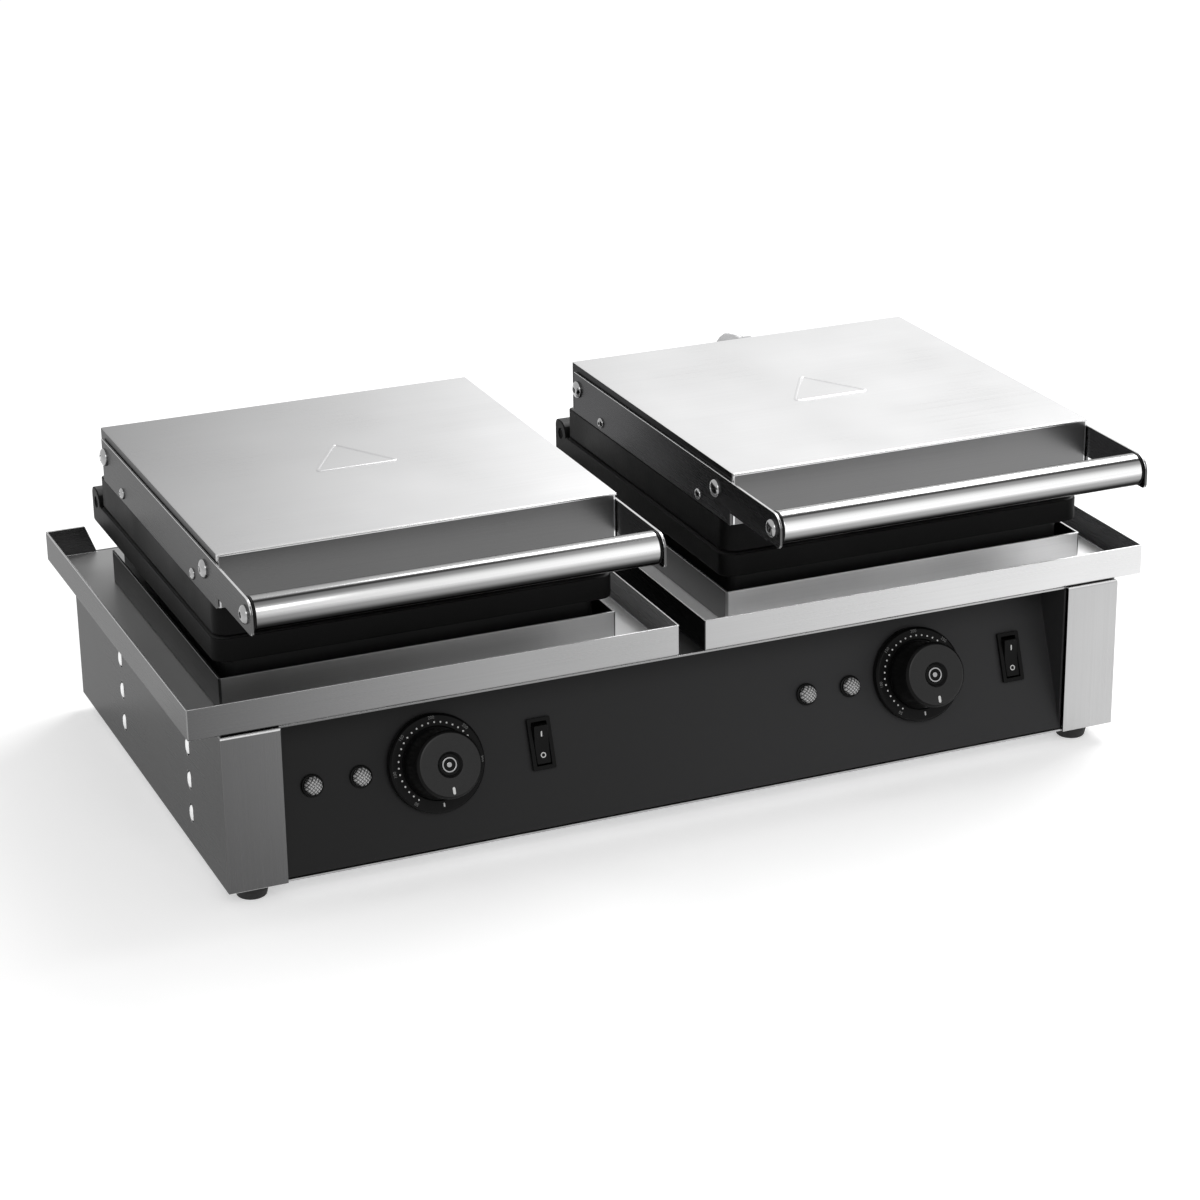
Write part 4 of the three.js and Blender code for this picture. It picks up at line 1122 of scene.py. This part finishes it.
def bead_mesh(name, outline, width, rise, height):
    """A low rounded bead that follows a closed outline on a level surface, in metres. A sixth of it is sunk
    below the surface."""
    steps, sunk = 7, 0.2
    rings = []
    count = len(outline)
    for i, here in enumerate(outline):
        along = (outline[(i + 1) % count] - outline[i - 1]).normalized()
        side = Vector((along.y, -along.x, 0))
        foot = Vector((here.x, here.y, height - rise * sunk))
        row = []
        for k in range(steps + 1):
            angle = math.pi * k / steps
            row.append(foot + side * (width / 2 * math.cos(angle))
                       + UP * (rise * (1 + sunk) * math.sin(angle)))
        rings.append(row)
    return crisp(ring_skin(name, rings, joined=True), 60)


class WAFFLE_OT_lids(bpy.types.Operator):
    """Fold the lid covers with their raised beads, and cut the side plates."""

    bl_idname = "waffle.lids"
    bl_label = "Lids"

    def execute(self, context):
        size = sizes()
        for unit in UNITS:
            body = f"lid_{unit}"
            node = f"lid_cover_{unit}"
            cover = softened(f"cover_sheet_{unit}", node, SMALL_SHEET_EDGE, size.fold_radius,
                             outer_fold(BOTTOM))
            steel = f"lid_top_{unit}"
            # Tops and rounded edges take the lid steel, fronts the darker lid wall steel and left faces the
            # side steel: painted light and shade
            finish_piece(cover, [steel, "lid_wall", "side", steel], body, [node])
            low, high, middle = box(node)
            for end in ENDS:
                node = f"lid_arm_{end}_{unit}"
                arm = softened(f"side_plate_{end}_{unit}", node, 0.35, upright=True)
                # The side plates' top and bottom faces and rounded edges take the edge steel, a painted
                # highlight, and their ends a steel painted dark
                finish_piece(arm, ["edge", "arm_end", "arm_side", "edge"], body, [node])
            # A thin strip along the top of the cover's front, in the edge steel: a painted highlight line
            hem = strip(f"lid_hem_{unit}", (low.x, low.y - 0.9 * MM, high.z - 1.5 * MM),
                        (high.x, low.y + 0.3 * MM, high.z - 0.1 * MM), 0.3)
            piece(f"lid_hem_{unit}", hem, "edge", body)
            front = Vector((middle.x, low.y, 0))
            corners = [front + Vector(spot) * MM for spot in ((-25, 105, 0), (25, 105, 0), (0, 147, 0))]
            outline = bead_outline(corners, 2.5 * MM)
            mesh = bead_mesh(f"lid_bead_{unit}", outline, size.bead_width * MM, 0.5 * MM, high.z)
            piece(f"lid_bead_{unit}", mesh, steel, body)
        return {"FINISHED"}


class WAFFLE_OT_handles(bpy.types.Operator):
    """Turn the handle tubes with their bushes and end screws."""

    bl_idname = "waffle.handles"
    bl_label = "Handles"

    def execute(self, context):
        for unit in UNITS:
            body = f"lid_{unit}"
            node = f"handle_tube_{unit}"
            low, high, middle = box(node)
            length = (high.x - low.x) / MM
            place = facing((low.x, middle.y, middle.z), (1, 0, 0))
            mesh = turned(f"grip_tube_{unit}", [
                (8.3, 0), (9.5, 0, 0.5), (9.5, length, 0.5), (8.3, length), (8.3, 0),
            ], 96, place)
            # The turn attribute places the painted reflection bands round the tube
            turn = mesh.attributes.new("turn", "FLOAT", "POINT")
            for item, vertex in zip(turn.data, mesh.vertices):
                away = vertex.co - middle
                item.value = (math.atan2(-away.y, away.z) / math.tau - REFLECTION_BAND_LEAN[unit]) % 1.0
            piece(f"grip_tube_{unit}", mesh, "tube", body, [node])
            spots = []
            for end, way in ENDS.items():
                hand = way * SIDE[unit]
                node = f"handle_bush_{end}_{unit}"
                place = facing((outer_face(node, hand), middle.y, middle.z), (-hand, 0, 0))
                mesh = turned(f"bush_ring_{end}_{unit}", [
                    (2.7, 0), (9.5, 0, 0.4), (9.5, 1.2, 0.3), (8, 1.2), (8, 11.2, 0.4), (2.7, 11.2), (2.7, 0),
                ], 72, place)
                piece(f"bush_ring_{end}_{unit}", mesh, "plastic", body, [node])
                face = outer_face(f"lid_arm_{end}_{unit}", hand)
                spots.append((Vector((face, middle.y, middle.z)), Vector((hand, 0, 0))))
            head = socket_screw("handle_screw_head", 5.3, 2.9, 2.1, 1.6)
            nodes = [f"handle_screw_{end}_{unit}" for end in ENDS]
            mesh = fixings(f"handle_screws_{unit}", head, spots, "polished")
            piece(f"handle_screws_{unit}", mesh, "polished", body, nodes)
        return {"FINISHED"}


class WAFFLE_OT_screws(bpy.types.Operator):
    """Set the screws of the side plates."""

    bl_idname = "waffle.screws"
    bl_label = "Side screws"

    def execute(self, context):
        size = sizes()
        # Radius, distance from the cover's back and front, and height over the side plate's lower edge
        kinds = {"large": (size.large_screw, 13.7, 19.2, 16.5), "small": (size.small_screw, 50.5, 42.9, 5.4)}
        for unit in UNITS:
            cover_low, cover_high, _ = box(f"lid_cover_{unit}")
            for kind, (radius, back, front, height) in kinds.items():
                spots = []
                for end, way in ENDS.items():
                    hand = way * SIDE[unit]
                    node = f"lid_arm_{end}_{unit}"
                    z = box(node)[0].z + height * MM
                    for y in (cover_high.y - back * MM, cover_low.y + front * MM):
                        spots.append((Vector((outer_face(node, hand), y, z)), Vector((hand, 0, 0))))
                head = socket_screw(f"{kind}_screw_head", radius, radius * 0.5, radius * 0.36, radius * 0.3)
                mesh = fixings(f"{kind}_screws_{unit}", head, spots, "polished")
                piece(f"{kind}_screws_{unit}", mesh, "polished", f"lid_{unit}")
        return {"FINISHED"}


def number_mesh(text, height, place):
    """A flat printed number, centred, in the plane of local X and Y."""
    curve = bpy.data.curves.new("number " + text, "FONT")
    curve.body = text
    curve.size = height * MM
    curve.extrude = 0.04 * MM
    curve.align_x = "CENTER"
    curve.align_y = "CENTER"
    curve.resolution_u = 3
    mesh = plain_mesh(object_from("number " + text, curve))
    mesh.transform(place)
    return mesh


def slab_mesh(name, width, length, thickness, place, dome=0.0):
    """A small bar with rounded ends, standing on local z = 0, flat or domed, in millimetres."""
    radius, steps = width / 2, 6
    outline = []
    for start, lift in ((0, length / 2 - radius), (math.pi, radius - length / 2)):
        for k in range(steps + 1):
            angle = start + math.pi * k / steps
            outline.append(Vector((radius * math.cos(angle), lift + radius * math.sin(angle), 0)))
    if dome:
        turns = [k / 10 * math.pi for k in range(5)]
        levels = [(1, 0)] + [(math.cos(turn), thickness + dome * math.sin(turn)) for turn in turns]
    else:
        levels = [(1, 0), (1, thickness * 0.6), (0.86, thickness)]
    rings = [[place @ ((point * scale + UP * height) * MM) for point in outline] for scale, height in levels]
    top = place @ (UP * (thickness + dome) * MM)
    return ring_skin(name, [[place @ Vector()], *rings, [top]])


class WAFFLE_OT_dials(bpy.types.Operator):
    """Turn the dials and knobs and print their scales."""

    bl_idname = "waffle.dials"
    bl_label = "Dials and knobs"

    def execute(self, context):
        size = sizes()
        tree, keys = TREES["dots"]
        # Heights over the panel of the dial's face and the knob's two ends, in millimetres
        dial_top = 5.9
        base, top = dial_top + 0.5, dial_top + 21.4
        # Where the scale starts, counted from the right, and how far it goes clockwise
        start, sweep = math.radians(232), math.radians(-236)
        values = ("50", "100", "150", "200", "250", "300")
        for unit in UNITS:
            place = panel_place(JOINTS[f"knob_{unit}_turn"]["pos_m"][0])
            mesh = turned(f"dial_disc_{unit}", [
                (4.7, 0.3), (28.3, 0.3, 0.3), (28.3, dial_top - 1.4, 0.8), (26.9, dial_top, 0.6),
                (21.2, dial_top), (20.6, dial_top - 0.7, 0.4), (4.7, dial_top - 0.7), (4.7, 0.3),
            ], 120, place)
            piece(f"dial_disc_{unit}", mesh, "plastic", "root", [f"dial_plate_{unit}"])
            mesh = turned(f"knob_cap_{unit}", [
                (0, base + 13.7), (3.3, base + 13.7), (3.3, base), (20, base, 0.3), (19.3, top - 1.8, 1.6),
                (17.7, top, 1.6), (7.4, top, 0.6), (5.9, top - 1.9, 0.5), (0, top - 1.9),
            ], 120, place)
            cap = object_from(f"knob_cap_{unit}", mesh)
            out = place.to_3x3() @ UP
            for face in mesh.polygons:
                height = (face.center - place.translation).dot(out)
                if face.normal.dot(out) > 0.9 and height > (top - 0.3) * MM:
                    face.material_index = 1
            finish_piece(cap, ["plastic", "knob_face"], f"knob_{unit}", [f"knob_{unit}"])
            foot = top - 2.1
            hub = turned(f"knob_hub_{unit}", [
                (3.5, foot), (4.3, foot), (4.3, top - 1.2, 0.2), (3.5, top - 1.2, 0.2), (3.5, foot),
            ], 64, place)
            boss = turned(f"knob_boss_{unit}", [
                (0, foot), (1.5, foot), (1.5, top - 1.5, 0.3), (0, top - 1.4),
            ], 32, place)
            piece(f"knob_ring_{unit}", join_meshes(f"knob_ring_{unit}", [hub, boss]), "polished",
                  f"knob_{unit}")
            mark = slab_mesh(f"knob_pointer_{unit}", 1.6, 4.2, 0.12,
                             place @ Matrix.Translation(Vector((0, -14.6, top)) * MM))
            piece(f"knob_pointer_{unit}", mark, "print", f"knob_{unit}")

            dots = run_tree(f"dial_dots_{unit}", bpy.data.meshes.new("dots"), tree, keys, {
                "Count": size.dot_count, "Radius": 23.2 * MM, "Start": start, "Sweep": sweep,
                "Dot": size.dot_radius * MM, "Thickness": 0.1 * MM, "Finish": FINISH["print"],
            })
            flat = place @ Matrix.Translation((0, 0, (dial_top + 0.02) * MM))
            dots.transform(flat)
            numbers = []
            for i, text in enumerate(values):
                angle = start + sweep * i / (len(values) - 1)
                spot = Matrix.Rotation(angle - math.pi / 2, 4, "Z") @ Matrix.Translation((0, 25.9 * MM, 0))
                numbers.append(number_mesh(text, 2.6, flat @ spot))
            piece(f"dial_numbers_{unit}", join_meshes(f"dial_numbers_{unit}", numbers), "faint_print",
                  "root")
            zero = slab_mesh("zero mark", 0.9, 2.4, 0.1, flat @ Matrix.Translation((0, -23.6 * MM, 0)))
            piece(f"dial_scale_{unit}", join_meshes(f"dial_scale_{unit}", [dots, zero]), "print",
                  "root")
            dress_node(f"thermostat_{unit}", "zinc")
        return {"FINISHED"}


def lens_mesh(name, radius, base, rise, place):
    """A domed lens whose skin is pressed into small four-sided points, in millimetres."""
    sides, rows = 96, 30
    pitch, press = 2.3, 0.6
    # The groove share is zero in the grooves and on the foot rings, where the lens finish paints shade
    grooves = [0.0]

    def wave(value):
        return 1.0 - abs(2 * ((value / pitch) % 1.0) - 1.0)

    def pressed(reach, height, depth):
        row = []
        for i in range(sides):
            angle = 2 * math.pi * i / sides
            x, y = reach * math.cos(angle), reach * math.sin(angle)
            share = min(wave(x + y), wave(x - y)) if depth else 0.0
            grooves.append(share)
            row.append(place @ (Vector((x, y, height + depth * share)) * MM))
        return row

    rings = [[place @ (UP * base * MM)], pressed(radius, base, 0.0)]
    for k in range(rows):
        angle = math.pi / 2 * k / rows
        depth = press * min(1.0, (k + 1) / 4)
        height = base + rise * 0.25 + rise * 0.75 * math.sin(angle) - depth
        rings.append(pressed(radius * math.cos(angle) ** 0.8, height, depth if depth > 0.2 else 0.0))
    rings.append([place @ (UP * (base + rise) * MM)])
    grooves.append(0.5)
    mesh = crisp(ring_skin(name, rings), 70)
    layer = mesh.attributes.new("groove", "FLOAT", "POINT")
    for item, share in zip(layer.data, grooves):
        item.value = share
    return mesh


class WAFFLE_OT_lamps(bpy.types.Operator):
    """Turn the pilot lamps with their pressed lenses."""

    bl_idname = "waffle.lamps"
    bl_label = "Pilot lamps"

    def execute(self, context):
        for unit in UNITS:
            for kind in ("power", "heating"):
                node = f"{kind}_lamp_{unit}"
                place = panel_place(box(node)[2].x)
                body = turned(f"{kind}_lamp_body_{unit}", [
                    (0, -16), (4.7, -16, 0.4), (4.7, 0.3), (6.5, 0.3, 0.2), (6.5, 1.6, 0.7), (5.5, 2.1, 0.3),
                    (5.5, 1.4), (0, 1.4),
                ], 72, place)
                piece(f"{kind}_lamp_body_{unit}", body, "plastic", "root", [node])
                lens = lens_mesh(f"{kind}_lamp_lens_{unit}", 5.2, 1.5, 5.9, place)
                piece(f"{kind}_lamp_lens_{unit}", lens, "lens", "root")
        return {"FINISHED"}


class WAFFLE_OT_switches(bpy.types.Operator):
    """Mould the switch frames and rockers and print their marks."""

    bl_idname = "waffle.switches"
    bl_label = "Switches"

    def execute(self, context):
        # The rocker's tilt at rest and the slope of each half of its face
        tilt, lean = math.radians(9), math.atan2(1.5, 11.3)
        for unit in UNITS:
            bezel = softened(f"switch_frame_{unit}", f"switch_bezel_{unit}", 0.35)
            finish_piece(bezel, ["plastic"], "root", [f"switch_bezel_{unit}"])
            paddle = softened(f"switch_paddle_{unit}", f"switch_rocker_{unit}", 0.7, steps=4)
            finish_piece(paddle, ["plastic"], f"rocker_{unit}", [f"switch_rocker_{unit}"])
            tipped = panel_place(JOINTS[f"rocker_{unit}_tip"]["pos_m"][0]) @ Matrix.Rotation(tilt, 4, "X")
            lower, upper = (
                tipped @ Matrix.Translation(Vector((0, sign * 6.2, 3.26)) * MM)
                @ Matrix.Rotation(sign * lean, 4, "X") for sign in (-1, 1))
            marks = [
                turned("off mark", [(1.05, 0), (1.6, 0), (1.6, 0.1), (1.05, 0.1), (1.05, 0)], 32, lower),
                slab_mesh("on mark", 0.8, 3.4, 0.1, upper),
            ]
            piece(f"switch_marks_{unit}", join_meshes(f"switch_marks_{unit}", marks), "print",
                  f"rocker_{unit}")
        return {"FINISHED"}


class WAFFLE_OT_conduits(bpy.types.Operator):
    """Run a ribbed conduit from each tray to its lid, with a nut at each end."""

    bl_idname = "waffle.conduits"
    bl_label = "Conduits"

    def execute(self, context):
        size = sizes()
        tree, keys = TREES["ribs"]
        # The bend's radius and steps, and how far the hose reaches into each nut
        bend, steps = 19 * MM, 12
        hidden = 1.5 * MM
        # Radii of the nuts' bore and of the thread on them, in millimetres
        bore, thread = 4.6, 5.2
        for unit in UNITS:
            lid_nut, base_nut = f"conduit_nut_lid_{unit}", f"conduit_nut_base_{unit}"
            _, lid_high, lid_middle = box(lid_nut)
            _, base_high, base_middle = box(base_nut)
            start = Vector((lid_middle.x, lid_high.y, lid_middle.z))
            end = Vector((start.x, base_middle.y, base_high.z))
            points = [start + Vector((0, -hidden, 0)), Vector((start.x, end.y - bend, start.z))]
            for k in range(1, steps + 1):
                angle = math.pi / 2 * k / steps
                points.append(Vector((
                    start.x, end.y - bend + bend * math.sin(angle), start.z - bend + bend * math.cos(angle))))
            points.append(end + Vector((0, 0, -hidden)))
            curve = bpy.data.curves.new(f"conduit path {unit}", "CURVE")
            curve.dimensions = "3D"
            spline = curve.splines.new("POLY")
            spline.points.add(len(points) - 1)
            for spot, point in zip(spline.points, points):
                spot.co = (*point, 1)
            mesh = run_tree(f"ribbed_hose_{unit}", curve, tree, keys, {
                "Pitch": size.rib_pitch * MM, "Root": 5.3 * MM, "Rise": 1.15 * MM, "Finish": FINISH["zinc"],
            })
            for face in mesh.polygons:
                face.use_smooth = True
            hose = object_from(f"ribbed_hose_{unit}", mesh)
            hose.data.materials.clear()
            hose.data.materials.append(FINISH["zinc"])
            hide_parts(f"conduit_{unit}")
            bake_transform(hose)

            lid_back = box(f"lid_cover_{unit}")[1].y
            place = facing((start.x, lid_back, start.z), (0, 1, 0))
            nut = hex_nut(f"lid_nut_{unit}", 9.2, 0.3, 7.2, bore, place)
            neck = turned("neck", [
                (bore, -3.7), (thread, -3.7, 0.3), (thread, 0.6), (bore, 0.6), (bore, -3.7),
            ], 40, place)
            piece(f"lid_nut_{unit}", join_meshes(f"lid_nut_{unit}", [nut, neck]), "zinc",
                  f"lid_{unit}", [lid_nut])
            place = Matrix.Translation((end.x, end.y, base_high.z - 7 * MM))
            nut = hex_nut(f"base_nut_{unit}", 9.2, 0, 7, bore, place)
            neck = turned("neck", [
                (bore, -4), (thread, -4, 0.3), (thread, 0.4), (bore, 0.4), (bore, -4),
            ], 40, place)
            piece(f"base_nut_{unit}", join_meshes(f"base_nut_{unit}", [nut, neck]), "zinc",
                  "root", [base_nut])
        return {"FINISHED"}


def floor_plane(reach, material):
    """A square floor that reaches equally far each way, in metres."""
    mesh = bpy.data.meshes.new("floor")
    corners = [(x * reach, y * reach, 0) for x, y in ((-1, -1), (1, -1), (1, 1), (-1, 1))]
    mesh.from_pydata(corners, [], [(0, 1, 2, 3)])
    mesh.materials.append(material)
    object_from("floor", mesh)


def seen_or_lighting(tree, seen, lighting):
    """One shader for camera, glossy and transmission rays and another for the rays that light things."""
    path = add(tree, "ShaderNodeLightPath").outputs
    direct = math_node(tree, "MAXIMUM", path["Is Camera Ray"], path["Is Glossy Ray"])
    direct = math_node(tree, "MAXIMUM", direct, path["Is Transmission Ray"])
    mix = add(tree, "ShaderNodeMixShader", Fac=direct)
    tree.links.new(lighting.outputs[0], mix.inputs[1])
    tree.links.new(seen.outputs[0], mix.inputs[2])
    return mix.outputs["Shader"]


def area_light(name, place, width, height, power):
    """A soft rectangular light, in metres and watts, that looks at the machine."""
    aim = Vector((0, 0, 0.1))
    data = bpy.data.lights.new(name, "AREA")
    data.shape = "RECTANGLE"
    data.size = width
    data.size_y = height
    data.energy = power
    thing = object_from(name, data)
    thing.location = place
    thing.rotation_euler = (aim - Vector(place)).to_track_quat("-Z", "Y").to_euler()


def fitted_camera():
    """The camera as fitted to the corners in the photograph: its focal length in pixels, its axes and its
    place in metres."""
    focal, pixels = 3240.07, 1200
    right = Vector((0.91944805, -0.39299243, -0.01312397))
    down = Vector((-0.15525382, -0.33216377, -0.93035664))
    ahead = Vector((0.36126381, 0.85745214, -0.3664209))
    data = bpy.data.cameras.new("camera")
    data.sensor_width = 36
    data.lens = focal / pixels * data.sensor_width
    data.clip_end = 40
    camera = object_from("camera", data)
    place = Matrix((right, -down, -ahead)).transposed().to_4x4()
    place.translation = (-0.70914, -1.69221, 0.8086)
    camera.matrix_world = place
    return camera


class WAFFLE_OT_stage(bpy.types.Operator):
    """Set the pale floor, the soft lights and the camera at the photographed angle."""

    bl_idname = "waffle.stage"
    bl_label = "Stage"

    def execute(self, context):
        scene = context.scene
        scene.view_settings.view_transform = "Standard"

        white = (1, 1, 1, 1)
        world = bpy.data.worlds.new("studio")
        world.use_nodes = True
        tree = world.node_tree
        tree.nodes.clear()
        seen = add(tree, "ShaderNodeBackground", Color=white, Strength=1.0)
        lighting = add(tree, "ShaderNodeBackground", Color=white, Strength=0.45)
        add(tree, "ShaderNodeOutputWorld", Surface=seen_or_lighting(tree, seen, lighting))
        scene.world = world

        material = bpy.data.materials.new("pale floor")
        material.use_nodes = True
        tree = material.node_tree
        tree.nodes.clear()
        matt = add(tree, "ShaderNodeBsdfDiffuse", Color=(0.86, 0.86, 0.86, 1))
        glow = add(tree, "ShaderNodeEmission", Color=white, Strength=0.42)
        both = add(tree, "ShaderNodeAddShader")
        tree.links.new(matt.outputs["BSDF"], both.inputs[0])
        tree.links.new(glow.outputs["Emission"], both.inputs[1])
        add(tree, "ShaderNodeOutputMaterial", Surface=seen_or_lighting(tree, both, matt))
        floor_plane(9.0, material)

        area_light("key", (1.5, 0.9, 2.3), 1.6, 1.6, 46)
        area_light("front", (-0.5, -2.4, 1.9), 1.6, 1.0, 16)
        scene.camera = fitted_camera()
        return {"FINISHED"}


class WAFFLE_PT_panel(bpy.types.Panel):
    """Sizes, colours and pieces of the waffle maker."""

    bl_idname = "WAFFLE_PT_panel"
    bl_label = "Waffle maker"
    bl_space_type = "VIEW_3D"
    bl_region_type = "UI"
    bl_category = "Waffle maker"

    def draw(self, context):
        layout = self.layout
        for group in (context.scene.waffle_sizes, context.scene.waffle_colours):
            for key in group.bl_rna.properties.keys():
                if key not in ("name", "rna_type"):
                    layout.prop(group, key)
        for operator in OPERATORS:
            layout.operator(operator.bl_idname)


OPERATORS = (
    WAFFLE_OT_stage, WAFFLE_OT_cabinet, WAFFLE_OT_feet, WAFFLE_OT_panel, WAFFLE_OT_trays, WAFFLE_OT_plates,
    WAFFLE_OT_lids, WAFFLE_OT_handles, WAFFLE_OT_screws, WAFFLE_OT_dials, WAFFLE_OT_lamps,
    WAFFLE_OT_switches, WAFFLE_OT_conduits,
)
CLASSES = (WaffleSizes, WaffleColours, *OPERATORS, WAFFLE_PT_panel)


def register():
    """Adds the classes and the two groups of settings."""
    for cls in CLASSES:
        bpy.utils.register_class(cls)
    bpy.types.Scene.waffle_sizes = PointerProperty(type=WaffleSizes)
    bpy.types.Scene.waffle_colours = PointerProperty(type=WaffleColours)


def unregister():
    """Takes them away again."""
    del bpy.types.Scene.waffle_colours
    del bpy.types.Scene.waffle_sizes
    for cls in reversed(CLASSES):
        bpy.utils.unregister_class(cls)


def main():
    register()
    FINISH.update(make_finishes())
    TREES.update(fixings=fixings_tree(), dots=dots_tree(), ribs=ribs_tree())
    for operator in OPERATORS:
        group, name = operator.bl_idname.split(".")
        result = getattr(getattr(bpy.ops, group), name)()
        if "FINISHED" not in result:
            raise RuntimeError(f"{operator.bl_label} did not finish")


if __name__ == "__main__":
    main()
